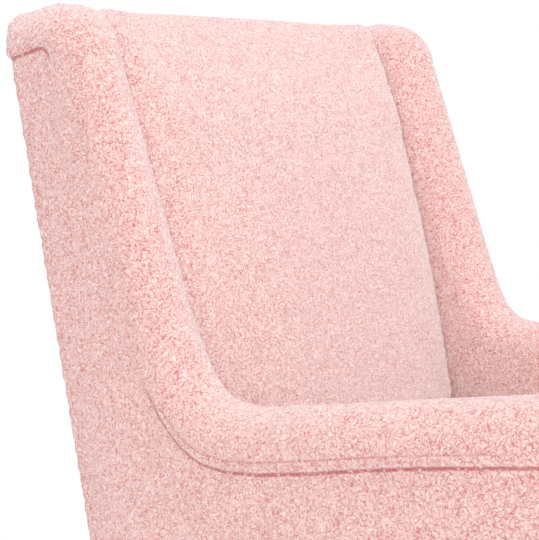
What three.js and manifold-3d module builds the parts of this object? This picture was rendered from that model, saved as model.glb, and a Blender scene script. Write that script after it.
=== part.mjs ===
// Upholstered swivel glider for a nursery, as a three.js scene graph. Millimetres, +Z up.
// The chair faces -Y and the sitter's left is +X. The origin is on the floor, under the middle of the
// overall box. A ring base carries a ball-bearing turntable. Two stands on the turntable hang four
// links, and the links carry the upholstered body, so the body glides fore and aft and can turn.
import * as THREE from "three";
import { mergeVertices } from "three/addons/utils/BufferGeometryUtils.js";
import Module from "manifold-3d";

const wasm = await Module();
wasm.setup();

// ---------- Driving dimensions ----------
const GAP = 0.3; // left between pieces that touch
const PIN_CLEARANCE = 0.4; // radial, round every pin and bolt in its hole

// Side outline of an arm and wing, seen along X
const HALF_WIDTH = 362;
const ARM_THICKNESS = 84;
const BODY_BOTTOM = 140;
const ARM_FRONT_Y = -396.5;
const ARM_FRONT_RAKE = 1.1; // degrees
const ELBOW_Y = 135;
const ELBOW_Z = 568;
const ARM_RISE = 9.6; // degrees, arm top rising to the front
const WING_LEAN = 19.8; // degrees from upright
const BACK_LEAN = 11.8; // degrees from upright
const WING_TOP_SLOPE = 14; // degrees, wing top falling to the rear
const BACK_TOP_Y = 398.3;
const BACK_TOP_Z = 969.7;
const FOOT_RADIUS = 10;
const ARM_FRONT_RADIUS = 55;
const ELBOW_RADIUS = 90;
const WING_FRONT_RADIUS = 65;
const WING_REAR_RADIUS = 16;
const ROLL_RADIUS = 38; // rounds the arm and wing edges across their thickness
const SEAM_INSET = 57; // from the arm and wing edge to the outer seam
const TOP_SEAM_INSET = 46; // the same at the wing top

// Upholstery
const PANEL_THICKNESS = 8; // outer side and back panels
const PANEL_RECESS = 2; // outer side panel behind the face of the roll
const APRON_THICKNESS = 16;
const APRON_RECESS = 12; // apron behind the arm fronts
const BACK_DEPTH = 102; // inner back's front face from the outer back, at the sides
const BACK_CREST_DEPTH = 50; // the same at its crest
const BACK_THINNING_START = 384; // along the back from the hem
const BACK_THINNING_POWER = 2.6;
const BACK_CREST_RISE = 4;
const BACK_CROWN = 20; // fullness in the middle
const BACK_SIDE_ROUND = 14;
const CUSHION_THICKNESS = 138;
const CUSHION_CROWN = 12;
const CUSHION_ROUND = 16;
const CUSHION_SETBACK = 6; // behind the arm fronts
const CUSHION_SIDE_CLEARANCE = 1.5;
const CUSHION_REAR_CLEARANCE = 3;
const DECK_THICKNESS = 12;
const DECK_SETBACK = 2; // its front edge behind the apron's face
const DECK_FRONT_Z = 320; // underside of the deck at the front rail
const SEAT_TILT = 3; // degrees, falling to the rear
const DUST_COVER_THICKNESS = 1.5;

// Wooden frame
const FRAME_THICKNESS = 35;
const FRAME_INSET = 30; // frame edge inside the arm and wing edge
const FRAME_BOTTOM_INSET = 3;
const RAIL_THICKNESS = 22;
const BACK_RAIL_THICKNESS = 30;
const BACK_RAIL_HEIGHT = 90;
const BACK_RAIL_LIFT = 9; // bottom rail above the hem
const REAR_REACH_GAP = 2; // mount rails and dust cover short of the back bottom rail
const MOUNT_RAIL_THICKNESS = 22;
const MOUNT_RAIL_SETBACK = 1; // its inner edge outside the hanger's face
const MOUNT_RAIL_ABOVE_PIVOTS = 2;

// Seat springs
const SPRING_COUNT = 4;
const SPRING_SPACING = 130;
const SPRING_WIRE = 4;
const SPRING_HALF_WIDTH = 22;
const SPRING_PITCH = 50;

// Base and turntable
const SWIVEL_Y = -18;
const RING_OUTER_RADIUS = 262;
const RING_WIDTH = 24;
const RING_HEIGHT = 22;
const RING_CHAMFER = 4;
const PAD_RADIUS = 15;
const PAD_HEIGHT = 6;
const PAD_COUNT = 4;
const PAD_TAPER = 2;
const CROSS_WIDTH = 40;
const CROSS_THICKNESS = 6;
const RACE_RADIUS = 85;
const RACE_THICKNESS = 6;
const RACE_GAP = 2.4; // daylight between the two race plates
const BALL_CIRCLE_RADIUS = 68;
const BALL_RADIUS = 4;
const BALL_CLEARANCE = 0.7; // between the ball ring and the grooves
const KING_BOLT_RADIUS = 6;
const KING_BOLT_HEAD_RADIUS = 11;
const KING_BOLT_HEAD_HEIGHT = 6;
const CROSSBAR_WIDTH = 30;
const CROSSBAR_HEIGHT = 20;
const CROSSBAR_Y = 62;
const CROSSBAR_CHAMFER = 3;

// Glider linkage
const STAND_INNER_X = 190;
const STAND_THICKNESS = 4;
const STAND_FOOT_HALF_LENGTH = 95;
const STAND_BEYOND_PIVOT = 21;
const STAND_ABOVE_PIVOT = 16;
const STAND_CORNER_WIDTH = 8;
const STAND_CORNER_HEIGHT = 20;
const STAND_TO_LINK = 3;
const LINK_THICKNESS = 4;
const LINK_WIDTH = 28;
const LINK_LENGTH = 115; // between pivots
const GLIDE_LIMIT = 25; // degrees each way
const PIVOT_Y = 145; // from the swivel axis
const PIVOT_Z = 188; // upper pivots
const PIVOT_RADIUS = 5;
const PIN_HEAD_RADIUS = 8.5;
const PIN_HEAD_THICKNESS = 3.2;
const THIN_PIN_HEAD_THICKNESS = 1.7; // between a link and the stand
const LINK_TO_HANGER = 6;
const HANGER_THICKNESS = 4;
const HANGER_WIDTH = 50;
const HANGER_FLANGE_LENGTH = 56;
const HANGER_BELOW_PIVOT = 15;
const BUMPER_RADIUS = 9;
const BUMPER_DOWN_LINK = 60; // from the upper pivot to the bumper's centre
const BUMPER_SLACK = 1; // degrees past the limit
const MOUNT_BOLT_RADIUS = 4;
const MOUNT_BOLT_HEAD_RADIUS = 8;
const MOUNT_BOLT_HEAD_HEIGHT = 5;

// ---------- Materials ----------
function paint(color, roughness, metalness = 0) {
  return new THREE.MeshStandardMaterial({ color, roughness, metalness });
}

const boucle = paint(0xf0c4c2, 0.95);
const cushionCloth = paint(0xf2c9c6, 0.95);
const dustCloth = paint(0x26262a, 0.95);
const wood = paint(0xc9a878, 0.7);
const blackSteel = paint(0x1d1d1f, 0.45, 0.8);
const zincSteel = paint(0xa9adb0, 0.35, 1);
const springSteel = paint(0x50555a, 0.4, 1);
const rubber = paint(0x161616, 0.9);
const nylon = paint(0xe6e2d8, 0.5);

// ---------- Geometry helpers ----------
const PIN_SEGMENTS = 12;
const HOLE_SEGMENTS = 12;
const RACE_SEGMENTS = 32;
const RING_SEGMENTS = 48;
const STEPS_PER_WAVE = 5;
const degrees = THREE.MathUtils.degToRad;
const point = (a, b) => new THREE.Vector2(a, b);

function toSolid(geometry) {
  const bare = geometry.index ? geometry.toNonIndexed() : geometry.clone();
  bare.deleteAttribute("normal");
  bare.deleteAttribute("uv");
  const merged = mergeVertices(bare, 1e-4);
  const vertProperties = new Float32Array(merged.attributes.position.array);
  const triVerts = new Uint32Array(merged.index.array);
  return new wasm.Manifold(new wasm.Mesh({ numProp: 3, vertProperties, triVerts }));
}

function toGeometry(solid) {
  const mesh = solid.getMesh();
  const geometry = new THREE.BufferGeometry();
  geometry.setAttribute("position", new THREE.BufferAttribute(new Float32Array(mesh.vertProperties), 3));
  geometry.setIndex(new THREE.BufferAttribute(new Uint32Array(mesh.triVerts), 1));
  geometry.computeVertexNormals();
  return geometry;
}

const cut = (geometry, ...tools) =>
  toGeometry(tools.reduce((solid, tool) => solid.subtract(toSolid(tool)), toSolid(geometry)));

const join = (...geometries) =>
  toGeometry(geometries.map(toSolid).reduce((whole, solid) => whole.add(solid)));

function block(x0, x1, y0, y1, z0, z1) {
  const box = new THREE.BoxGeometry(x1 - x0, y1 - y0, z1 - z0);
  return box.translate((x0 + x1) / 2, (y0 + y1) / 2, (z0 + z1) / 2);
}

// Extrudes an outline drawn in (y, z) from x0 to x1.
function prismX(outline, x0, x1, holes = []) {
  const shape = new THREE.Shape(outline);
  shape.holes = holes;
  const options = { depth: x1 - x0, bevelEnabled: false, curveSegments: HOLE_SEGMENTS / 2 };
  const geometry = new THREE.ExtrudeGeometry(shape, options);
  const alongX = new THREE.Matrix4().makeBasis(
    new THREE.Vector3(0, 1, 0),
    new THREE.Vector3(0, 0, 1),
    new THREE.Vector3(1, 0, 0),
  );
  return geometry.applyMatrix4(alongX).translate(x0, 0, 0);
}

// Extrudes an outline drawn in (x, z) from y0 to y1.
function prismY(outline, y0, y1) {
  const options = { depth: y1 - y0, bevelEnabled: false };
  const geometry = new THREE.ExtrudeGeometry(new THREE.Shape(outline), options);
  return geometry.rotateX(Math.PI / 2).translate(0, y1, 0);
}

// Turns a profile drawn in (radius, height) about the Z axis.
function turned(profile, segments) {
  const closed = profile.map(([radius, height]) => point(radius, height));
  if (profile[0][0] > 0) closed.push(closed[0].clone());
  return new THREE.LatheGeometry(closed, segments).rotateX(Math.PI / 2);
}

const disc = (radius, z0, z1, segments) =>
  turned([[0, z0], [radius, z0], [radius, z1], [0, z1]], segments);

// Skins a stack of sections along X. Every section holds the same number of (y, z) points, in the same order.
function loft(stack) {
  const sections = stack.map(({ x, outline }) => ({
    x,
    outline: THREE.ShapeUtils.isClockWise(outline) ? outline.toReversed() : outline,
  }));
  const count = sections[0].outline.length;
  const positions = sections.flatMap(({ x, outline }) => outline.flatMap((p) => [x, p.x, p.y]));
  const faces = [];
  for (let s = 0; s + 1 < sections.length; s += 1) {
    for (let i = 0; i < count; i += 1) {
      const a = s * count + i;
      const b = s * count + ((i + 1) % count);
      faces.push(a, b, b + count, a, b + count, a + count);
    }
  }
  const last = (sections.length - 1) * count;
  for (const [a, b, c] of THREE.ShapeUtils.triangulateShape(sections[0].outline, [])) faces.push(a, c, b);
  for (const [a, b, c] of THREE.ShapeUtils.triangulateShape(sections.at(-1).outline, [])) {
    faces.push(last + a, last + b, last + c);
  }
  const geometry = new THREE.BufferGeometry();
  geometry.setAttribute("position", new THREE.Float32BufferAttribute(positions, 3));
  geometry.setIndex(faces);
  return geometry;
}

// ---------- Side outline ----------
// Six straight edges, each a point and a heading in degrees from +Y towards +Z. The inside is to the right.
const armFrontTopZ = ELBOW_Z + (ELBOW_Y - ARM_FRONT_Y) * Math.tan(degrees(ARM_RISE));
const EDGES = {
  bottom: { at: point(0, BODY_BOTTOM), heading: 180 },
  front: { at: point(ARM_FRONT_Y, armFrontTopZ), heading: 90 + ARM_FRONT_RAKE },
  arm: { at: point(ELBOW_Y, ELBOW_Z), heading: -ARM_RISE },
  wing: { at: point(ELBOW_Y, ELBOW_Z), heading: 90 - WING_LEAN },
  top: { at: point(BACK_TOP_Y, BACK_TOP_Z), heading: -WING_TOP_SLOPE },
  back: { at: point(BACK_TOP_Y, BACK_TOP_Z), heading: -90 - BACK_LEAN },
};
const CORNERS = [
  { from: "bottom", to: "front", radius: FOOT_RADIUS, steps: 2 },
  { from: "front", to: "arm", radius: ARM_FRONT_RADIUS, steps: 6 },
  { from: "arm", to: "wing", radius: ELBOW_RADIUS, steps: 6 },
  { from: "wing", to: "top", radius: WING_FRONT_RADIUS, steps: 6 },
  { from: "top", to: "back", radius: WING_REAR_RADIUS, steps: 3 },
  { from: "back", to: "bottom", radius: FOOT_RADIUS, steps: 2 },
];

const headingOf = (edge) => point(Math.cos(degrees(edge.heading)), Math.sin(degrees(edge.heading)));

function meet(edgeA, insetA, edgeB, insetB) {
  const [a, b] = [headingOf(edgeA), headingOf(edgeB)];
  const startA = edgeA.at.clone().add(point(a.y, -a.x).multiplyScalar(insetA));
  const startB = edgeB.at.clone().add(point(b.y, -b.x).multiplyScalar(insetB));
  const along = startB.clone().sub(startA).cross(b) / a.cross(b);
  return startA.addScaledVector(a, along);
}

// The side outline moved inwards by an inset for each edge, with its corners rounded.
function sideOutline(insets) {
  return CORNERS.flatMap(({ from, to, radius, steps }) => {
    const [a, b] = [headingOf(EDGES[from]), headingOf(EDGES[to])];
    const corner = meet(EDGES[from], insets[from], EDGES[to], insets[to]);
    const turn = Math.atan2(a.cross(b), a.dot(b));
    const mean = (insets[from] + insets[to]) / 2;
    const bend = turn < 0 ? Math.max(radius - mean, 1) : Math.max(radius + mean, 1);
    const start = corner.clone().addScaledVector(a, -bend * Math.tan(Math.abs(turn) / 2));
    const centre = start.clone().addScaledVector(point(-a.y, a.x), bend * Math.sign(turn));
    const turnedBy = (angle) => start.clone().rotateAround(centre, angle);
    return Array.from({ length: steps + 1 }, (_, i) => turnedBy((turn * i) / steps));
  }).reverse();
}

const insetAll = (edge, top, back, bottom) => ({ front: edge, arm: edge, wing: edge, top, back, bottom });

// A point on the back: up along its slope from the body's bottom, and in from its rear face.
const backUp = point(Math.sin(degrees(BACK_LEAN)), Math.cos(degrees(BACK_LEAN)));
const backFoot = meet(EDGES.back, 0, EDGES.bottom, 0);
const onBack = (up, inward) =>
  backFoot.clone().addScaledVector(backUp, up).addScaledVector(point(-backUp.y, backUp.x), inward);
const backBar = (up0, up1, in0, in1) => [
  onBack(up0, in0),
  onBack(up0, in1),
  onBack(up1, in1),
  onBack(up1, in0),
];
const backPanelTop = (BACK_TOP_Z - BODY_BOTTOM) / backUp.y - TOP_SEAM_INSET;
const behindRails = PANEL_THICKNESS + BACK_RAIL_THICKNESS + 2 * GAP;

// ---------- The scene ----------
const chair = new THREE.Group();

function add(group, name, geometry, material) {
  const mesh = new THREE.Mesh(geometry, material);
  mesh.name = name;
  group.add(mesh);
  return mesh;
}

// Heights that stack up from the floor
const ringTop = PAD_HEIGHT + RING_HEIGHT;
const crossBottom = ringTop + GAP;
const linkInnerX = STAND_INNER_X + STAND_THICKNESS + STAND_TO_LINK;
const linkOuterX = linkInnerX + LINK_THICKNESS;
const hangerInnerX = linkOuterX + LINK_TO_HANGER;
const hangerOuterX = hangerInnerX + HANGER_THICKNESS;
const lowerRaceBottom = crossBottom + CROSS_THICKNESS + GAP;
const upperRaceBottom = lowerRaceBottom + RACE_THICKNESS + RACE_GAP;
const upperRaceTop = upperRaceBottom + RACE_THICKNESS;
const crossbarBottom = upperRaceTop + GAP;
const frameInnerX = HALF_WIDTH - PANEL_RECESS - PANEL_THICKNESS - GAP - FRAME_THICKNESS;
const armInnerX = HALF_WIDTH - ARM_THICKNESS;
const insideHalfWidth = armInnerX - GAP; // pieces that fit between the arms
const railHalfLength = frameInnerX - GAP; // pieces that fit between the side frames
const mountRailBottom = PIVOT_Z + MOUNT_RAIL_ABOVE_PIVOTS + GAP;
const mountRailTop = mountRailBottom + MOUNT_RAIL_THICKNESS;

// ---------- Ring base ----------
function ringBase() {
  const group = new THREE.Group();
  group.position.y = SWIVEL_Y;
  const [outer, inner, c] = [RING_OUTER_RADIUS, RING_OUTER_RADIUS - RING_WIDTH, RING_CHAMFER];
  const ring = turned(
    [
      [inner + c, PAD_HEIGHT],
      [outer - c, PAD_HEIGHT],
      [outer, PAD_HEIGHT + c],
      [outer, ringTop - c],
      [outer - c, ringTop],
      [inner + c, ringTop],
      [inner, ringTop - c],
      [inner, PAD_HEIGHT + c],
    ],
    RING_SEGMENTS,
  );
  add(group, "base_ring", ring, blackSteel);

  const padCircle = RING_OUTER_RADIUS - RING_WIDTH / 2;
  const padTop = PAD_HEIGHT - GAP;
  const padProfile = [[0, 0], [PAD_RADIUS - PAD_TAPER, 0], [PAD_RADIUS, padTop], [0, padTop]];
  for (let i = 0; i < PAD_COUNT; i += 1) {
    const angle = (2 * Math.PI * (i + 0.5)) / PAD_COUNT;
    const pad = add(group, `floor_pad_${i + 1}`, turned(padProfile, PIN_SEGMENTS), nylon);
    pad.position.set(padCircle * Math.cos(angle), padCircle * Math.sin(angle), 0);
  }

  const [reach, half] = [RING_OUTER_RADIUS - RING_CHAMFER, CROSS_WIDTH / 2];
  const crossTop = crossBottom + CROSS_THICKNESS;
  const sideways = block(-reach, reach, -half, half, crossBottom, crossTop);
  const foreAndAft = block(-half, half, -reach, reach, crossBottom, crossTop);
  const hub = disc(RACE_RADIUS, crossBottom, crossTop, RACE_SEGMENTS);
  const boltHole = disc(KING_BOLT_RADIUS + PIN_CLEARANCE, 0, 2 * crossTop, HOLE_SEGMENTS);
  add(group, "base_cross", cut(join(sideways, foreAndAft, hub), boltHole), blackSteel);
  return group;
}

// ---------- Swivel bearing ----------
// A flat annular plate with a groove for the balls on its lower face.
function racePlate(bottom) {
  const bore = KING_BOLT_RADIUS + PIN_CLEARANCE;
  const top = bottom + RACE_THICKNESS;
  const grooveTop = bottom + BALL_RADIUS - RACE_GAP / 2 + BALL_CLEARANCE;
  const mouth = BALL_RADIUS + BALL_CLEARANCE;
  const profile = [
    [bore, bottom],
    [BALL_CIRCLE_RADIUS - mouth, bottom],
    [BALL_CIRCLE_RADIUS - mouth / 2, grooveTop],
    [BALL_CIRCLE_RADIUS + mouth / 2, grooveTop],
    [BALL_CIRCLE_RADIUS + mouth, bottom],
    [RACE_RADIUS, bottom],
    [RACE_RADIUS, top],
    [bore, top],
  ];
  return turned(profile, RACE_SEGMENTS);
}

function swivelBearing() {
  const group = new THREE.Group();
  group.position.y = SWIVEL_Y;
  const ballCentre = upperRaceBottom - RACE_GAP / 2;
  const upperRace = racePlate(upperRaceBottom);
  const lowerRace = upperRace.clone().rotateX(Math.PI).translate(0, 0, 2 * ballCentre);
  add(group, "swivel_lower_race", lowerRace, zincSteel);
  add(group, "swivel_upper_race", upperRace, zincSteel);

  const section = Array.from({ length: 8 }, (_, i) => {
    const angle = (2 * Math.PI * i) / 8;
    return [BALL_CIRCLE_RADIUS + BALL_RADIUS * Math.cos(angle), ballCentre + BALL_RADIUS * Math.sin(angle)];
  });
  add(group, "swivel_ball_cage", turned(section, RACE_SEGMENTS), nylon);

  const [r, head] = [KING_BOLT_RADIUS, KING_BOLT_HEAD_RADIUS];
  const [low, high] = [crossBottom - GAP, upperRaceTop + GAP];
  const bolt = turned(
    [
      [0, low - KING_BOLT_HEAD_HEIGHT],
      [head, low - KING_BOLT_HEAD_HEIGHT],
      [head, low],
      [r, low],
      [r, high],
      [head, high],
      [head, high + KING_BOLT_HEAD_HEIGHT],
      [0, high + KING_BOLT_HEAD_HEIGHT],
    ],
    PIN_SEGMENTS,
  );
  add(group, "swivel_king_bolt", bolt, zincSteel);
  return group;
}

// ---------- Glider linkage ----------
const ENDS = { front: -1, rear: 1 };
const pivotHole = (y, z) => new THREE.Path().absarc(y, z, PIVOT_RADIUS + PIN_CLEARANCE, 0, 2 * Math.PI, true);

// A pin along X with a head at each end, centred on the origin's axis.
function headedPin(headInX, gripInX, gripOutX, headOutX) {
  const profile = [
    [0, headInX],
    [PIN_HEAD_RADIUS, headInX],
    [PIN_HEAD_RADIUS, gripInX],
    [PIVOT_RADIUS, gripInX],
    [PIVOT_RADIUS, gripOutX],
    [PIN_HEAD_RADIUS, gripOutX],
    [PIN_HEAD_RADIUS, headOutX],
    [0, headOutX],
  ];
  return turned(profile, PIN_SEGMENTS).rotateY(Math.PI / 2);
}

function standPlate() {
  const [half, top] = [PIVOT_Y + STAND_BEYOND_PIVOT, PIVOT_Z + STAND_ABOVE_PIVOT];
  const outline = [
    point(-STAND_FOOT_HALF_LENGTH, crossbarBottom),
    point(STAND_FOOT_HALF_LENGTH, crossbarBottom),
    point(half, top - STAND_CORNER_HEIGHT),
    point(half - STAND_CORNER_WIDTH, top),
    point(STAND_CORNER_WIDTH - half, top),
    point(-half, top - STAND_CORNER_HEIGHT),
  ];
  const holes = Object.values(ENDS).map((end) => pivotHole(end * PIVOT_Y, PIVOT_Z));
  return prismX(outline, STAND_INNER_X, STAND_INNER_X + STAND_THICKNESS, holes);
}

function linkStrap() {
  const shape = new THREE.Shape();
  shape.absarc(0, 0, LINK_WIDTH / 2, 0, Math.PI, false);
  shape.absarc(0, -LINK_LENGTH, LINK_WIDTH / 2, Math.PI, 2 * Math.PI, false);
  const holes = [0, -LINK_LENGTH].map((z) => pivotHole(0, z));
  return prismX(shape.getPoints(5), linkInnerX, linkOuterX, holes);
}

// An angle bracket: an upright plate round the lower pivot and a flange bolted under the mount rail.
function hangerBracket() {
  const [inX, outX] = [hangerInnerX, hangerOuterX];
  const top = mountRailBottom - GAP;
  const flangeX = outX + HANGER_FLANGE_LENGTH;
  const pivotZ = PIVOT_Z - LINK_LENGTH;
  const angle = [
    point(inX, pivotZ - HANGER_BELOW_PIVOT),
    point(outX, pivotZ - HANGER_BELOW_PIVOT),
    point(outX, top - HANGER_THICKNESS),
    point(flangeX, top - HANGER_THICKNESS),
    point(flangeX, top),
    point(inX, top),
  ];
  const half = HANGER_WIDTH / 2;
  const drill = prismX(pivotHole(0, pivotZ).getPoints(HOLE_SEGMENTS / 2), inX - 1, outX + 1);
  return cut(prismY(angle, -half, half), drill, mountBoltHole());
}

const mountBoltX = hangerOuterX + HANGER_FLANGE_LENGTH / 2;
const mountBoltHole = () =>
  disc(MOUNT_BOLT_RADIUS + PIN_CLEARANCE, 0, mountRailTop + 1, HOLE_SEGMENTS).translate(mountBoltX, 0, 0);

function mountBolt() {
  const flangeBottom = mountRailBottom - GAP - HANGER_THICKNESS;
  const headTop = flangeBottom - GAP;
  const profile = [
    [0, headTop - MOUNT_BOLT_HEAD_HEIGHT],
    [MOUNT_BOLT_HEAD_RADIUS, headTop - MOUNT_BOLT_HEAD_HEIGHT],
    [MOUNT_BOLT_HEAD_RADIUS, headTop],
    [MOUNT_BOLT_RADIUS, headTop],
    [MOUNT_BOLT_RADIUS, mountRailTop - 1],
    [0, mountRailTop - 1],
  ];
  return turned(profile, PIN_SEGMENTS).translate(mountBoltX, 0, 0);
}

// Where a rubber bumper stops the link that swings towards the middle of the stand.
function bumperCentre(end) {
  const beside = Math.asin((LINK_WIDTH / 2 + BUMPER_RADIUS) / BUMPER_DOWN_LINK);
  const angle = beside + degrees(GLIDE_LIMIT + BUMPER_SLACK);
  const arm = point(-Math.sin(angle), -Math.cos(angle)).multiplyScalar(BUMPER_DOWN_LINK);
  return point(end * (PIVOT_Y + arm.x), PIVOT_Z + arm.y);
}

// A pin from just inside one plate to just outside another, with its inner and outer heads.
const pinThrough = (innerX, innerHead, outerX) =>
  headedPin(innerX - GAP - innerHead, innerX - GAP, outerX + GAP, outerX + GAP + PIN_HEAD_THICKNESS);

// One side of the linkage, built on the sitter's left.
function linkageSide(side) {
  const upperPin = pinThrough(STAND_INNER_X, PIN_HEAD_THICKNESS, linkOuterX);
  const lowerPin = pinThrough(linkInnerX, THIN_PIN_HEAD_THICKNESS, hangerOuterX);
  const [bumperInX, bumperOutX] = [STAND_INNER_X + STAND_THICKNESS + GAP, linkOuterX];
  const group = new THREE.Group();
  group.position.y = SWIVEL_Y;
  add(group, `stand_${side}`, standPlate(), blackSteel);
  for (const [name, end] of Object.entries(ENDS)) {
    const corner = `${name}_${side}`;
    const link = add(group, `link_${corner}`, linkStrap(), zincSteel);
    link.position.set(0, end * PIVOT_Y, PIVOT_Z);

    add(group, `upper_pin_${corner}`, upperPin, zincSteel).position.set(0, end * PIVOT_Y, PIVOT_Z);
    const lower = add(group, `lower_pin_${corner}`, lowerPin, zincSteel);
    lower.position.set(0, end * PIVOT_Y, PIVOT_Z - LINK_LENGTH);

    add(group, `hanger_${corner}`, hangerBracket(), blackSteel).position.y = end * PIVOT_Y;
    add(group, `mount_bolt_${corner}`, mountBolt(), zincSteel).position.y = end * PIVOT_Y;

    const bumper = disc(BUMPER_RADIUS, bumperInX, bumperOutX, PIN_SEGMENTS).rotateY(Math.PI / 2);
    const centre = bumperCentre(end);
    add(group, `bumper_${corner}`, bumper, rubber).position.set(0, centre.x, centre.y);
  }
  return group;
}

function crossbars() {
  const group = new THREE.Group();
  group.position.y = SWIVEL_Y;
  const [half, c, top] = [STAND_INNER_X - GAP, CROSSBAR_CHAMFER, crossbarBottom + CROSSBAR_HEIGHT];
  const w = CROSSBAR_WIDTH / 2;
  const section = [
    point(-w, crossbarBottom),
    point(w, crossbarBottom),
    point(w, top - c),
    point(w - c, top),
    point(c - w, top),
    point(-w, top - c),
  ];
  for (const [name, end] of Object.entries(ENDS)) {
    const bar = add(group, `turntable_crossbar_${name}`, prismX(section, -half, half), blackSteel);
    bar.position.y = end * CROSSBAR_Y;
  }
  return group;
}

// ---------- Wooden frame ----------
const frontRailY = ARM_FRONT_Y + APRON_RECESS + APRON_THICKNESS + GAP;
const deckUndersideAt = (y) => DECK_FRONT_Z - (y - frontRailY) * Math.tan(degrees(SEAT_TILT));
const restingOnDeckAt = (y) => deckUndersideAt(y) + DECK_THICKNESS + GAP;
const springBottomAt = (y) => deckUndersideAt(y) - GAP - SPRING_WIRE;
const behindPanel = PANEL_THICKNESS + GAP;
const frameInsets = (extra) =>
  insetAll(FRAME_INSET + extra, FRAME_INSET + extra, behindPanel + extra, FRAME_BOTTOM_INSET + extra);

// How far to the rear a level board reaches at a height, before it meets the back bottom rail.
function rearReach(z) {
  const up = (z - BODY_BOTTOM) / backUp.y;
  return onBack(up, behindPanel + RAIL_THICKNESS + GAP).x - REAR_REACH_GAP;
}

const seatRearY = rearReach(mountRailTop); // rear of the deck, the rear seat rail and the dust cover
const dustCoverTop = mountRailTop + GAP + DUST_COVER_THICKNESS;

function sideFrame() {
  return prismX(sideOutline(frameInsets(0)), frameInnerX, frameInnerX + FRAME_THICKNESS);
}

function mountRail() {
  const rearY = rearReach(mountRailBottom);
  const frontY = frontRailY + RAIL_THICKNESS + GAP;
  const innerX = hangerInnerX + MOUNT_RAIL_SETBACK;
  const rail = block(innerX, railHalfLength, frontY, rearY, mountRailBottom, mountRailTop);
  const holes = Object.values(ENDS).map((end) => mountBoltHole().translate(0, SWIVEL_Y + end * PIVOT_Y, 0));
  return cut(rail, ...holes);
}

function frameRails() {
  const group = new THREE.Group();
  const half = railHalfLength;
  const frontTop = springBottomAt(frontRailY) - GAP - 1;
  const railFoot = BODY_BOTTOM + FRAME_BOTTOM_INSET;
  const frontRail = block(-half, half, frontRailY, frontRailY + RAIL_THICKNESS, railFoot, frontTop);
  add(group, "front_rail", frontRail, wood);

  const rearTop = springBottomAt(seatRearY) - GAP;
  const rearRail = block(-half, half, seatRearY - RAIL_THICKNESS, seatRearY, dustCoverTop + GAP, rearTop);
  add(group, "rear_seat_rail", rearRail, wood);

  const topRailFoot = backPanelTop - BACK_RAIL_HEIGHT;
  const topRail = backBar(topRailFoot, backPanelTop - GAP, behindPanel, behindPanel + BACK_RAIL_THICKNESS);
  add(group, "back_top_rail", prismX(topRail, -half, half), wood);
  const bottomRail = backBar(BACK_RAIL_LIFT, BACK_RAIL_HEIGHT, behindPanel, behindPanel + RAIL_THICKNESS);
  add(group, "back_bottom_rail", prismX(bottomRail, -half, half), wood);
  return group;
}

// ---------- Seat springs ----------
// A sinuous spring: wire bent to and fro in the plane under the deck, from front rail to rear rail.
class SinuousPath extends THREE.Curve {
  constructor(centreX) {
    super();
    this.centreX = centreX;
    this.startY = frontRailY + RAIL_THICKNESS / 2;
    this.endY = seatRearY - RAIL_THICKNESS / 2;
  }

  getPoint(t, target = new THREE.Vector3()) {
    const y = THREE.MathUtils.lerp(this.startY, this.endY, t);
    const wave = Math.sin((2 * Math.PI * (y - this.startY)) / SPRING_PITCH);
    return target.set(this.centreX + SPRING_HALF_WIDTH * wave, y, springBottomAt(y) + SPRING_WIRE / 2);
  }
}

function suspension() {
  const group = new THREE.Group();
  const corner = point(SPRING_WIRE / 2, 0);
  const quarterTurns = [0, 1, 2, 3].map((i) => corner.clone().rotateAround(point(0, 0), (Math.PI * i) / 2));
  const wire = new THREE.Shape(quarterTurns);
  for (let i = 0; i < SPRING_COUNT; i += 1) {
    const path = new SinuousPath((i - (SPRING_COUNT - 1) / 2) * SPRING_SPACING);
    const steps = Math.round((STEPS_PER_WAVE * (path.endY - path.startY)) / SPRING_PITCH);
    const spring = new THREE.ExtrudeGeometry(wire, { steps, extrudePath: path });
    add(group, `seat_spring_${i + 1}`, spring, springSteel);
  }
  return group;
}

// ---------- Upholstery ----------
// The padded skin of one arm and wing: the side outline, rolled over at its edges, hollowed for the frame.
function sidePad() {
  const rollSteps = 4;
  const levels = Array.from({ length: rollSteps + 1 }, (_, i) => {
    const angle = ((Math.PI / 2) * i) / rollSteps;
    return { in: ROLL_RADIUS * (1 - Math.sin(angle)), from: ROLL_RADIUS * (1 - Math.cos(angle)) };
  });
  const outlineAt = (inset) => sideOutline(insetAll(inset, inset, inset * 0.12, 0));
  const inner = levels.map((level) => ({ x: armInnerX + level.from, outline: outlineAt(level.in) }));
  const outer = levels.map((level) => ({ x: HALF_WIDTH - level.from, outline: outlineAt(level.in) }));
  const body = loft([...inner, ...outer.reverse()]);

  const pastEdge = -ROLL_RADIUS;
  const pastFace = HALF_WIDTH + ARM_THICKNESS;
  const openBelow = { ...frameInsets(-GAP), bottom: pastEdge };
  const frameSlot = prismX(sideOutline(openBelow), frameInnerX - GAP, frameInnerX + FRAME_THICKNESS + GAP);
  const panelWindow = insetAll(SEAM_INSET - GAP, TOP_SEAM_INSET - GAP, pastEdge, pastEdge);
  const panelSlot = prismX(sideOutline(panelWindow), frameInnerX + FRAME_THICKNESS, pastFace);
  const underDeck = block(0, frameInnerX, frontRailY - GAP, BACK_TOP_Y, 0, DECK_FRONT_Z);
  const backSlot = prismX(backBar(-ARM_THICKNESS, backPanelTop + GAP, pastEdge, behindPanel), 0, pastFace);
  const railSlot = prismX(backBar(-ARM_THICKNESS, backPanelTop + GAP, pastEdge, behindRails), 0, frameInnerX);
  return cut(body, frameSlot, panelSlot, underDeck, backSlot, railSlot);
}

function outerSidePanel() {
  const outline = sideOutline(insetAll(SEAM_INSET, TOP_SEAM_INSET, PANEL_THICKNESS + GAP, 0));
  const faceX = HALF_WIDTH - PANEL_RECESS;
  return prismX(outline, faceX - PANEL_THICKNESS, faceX);
}

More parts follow.
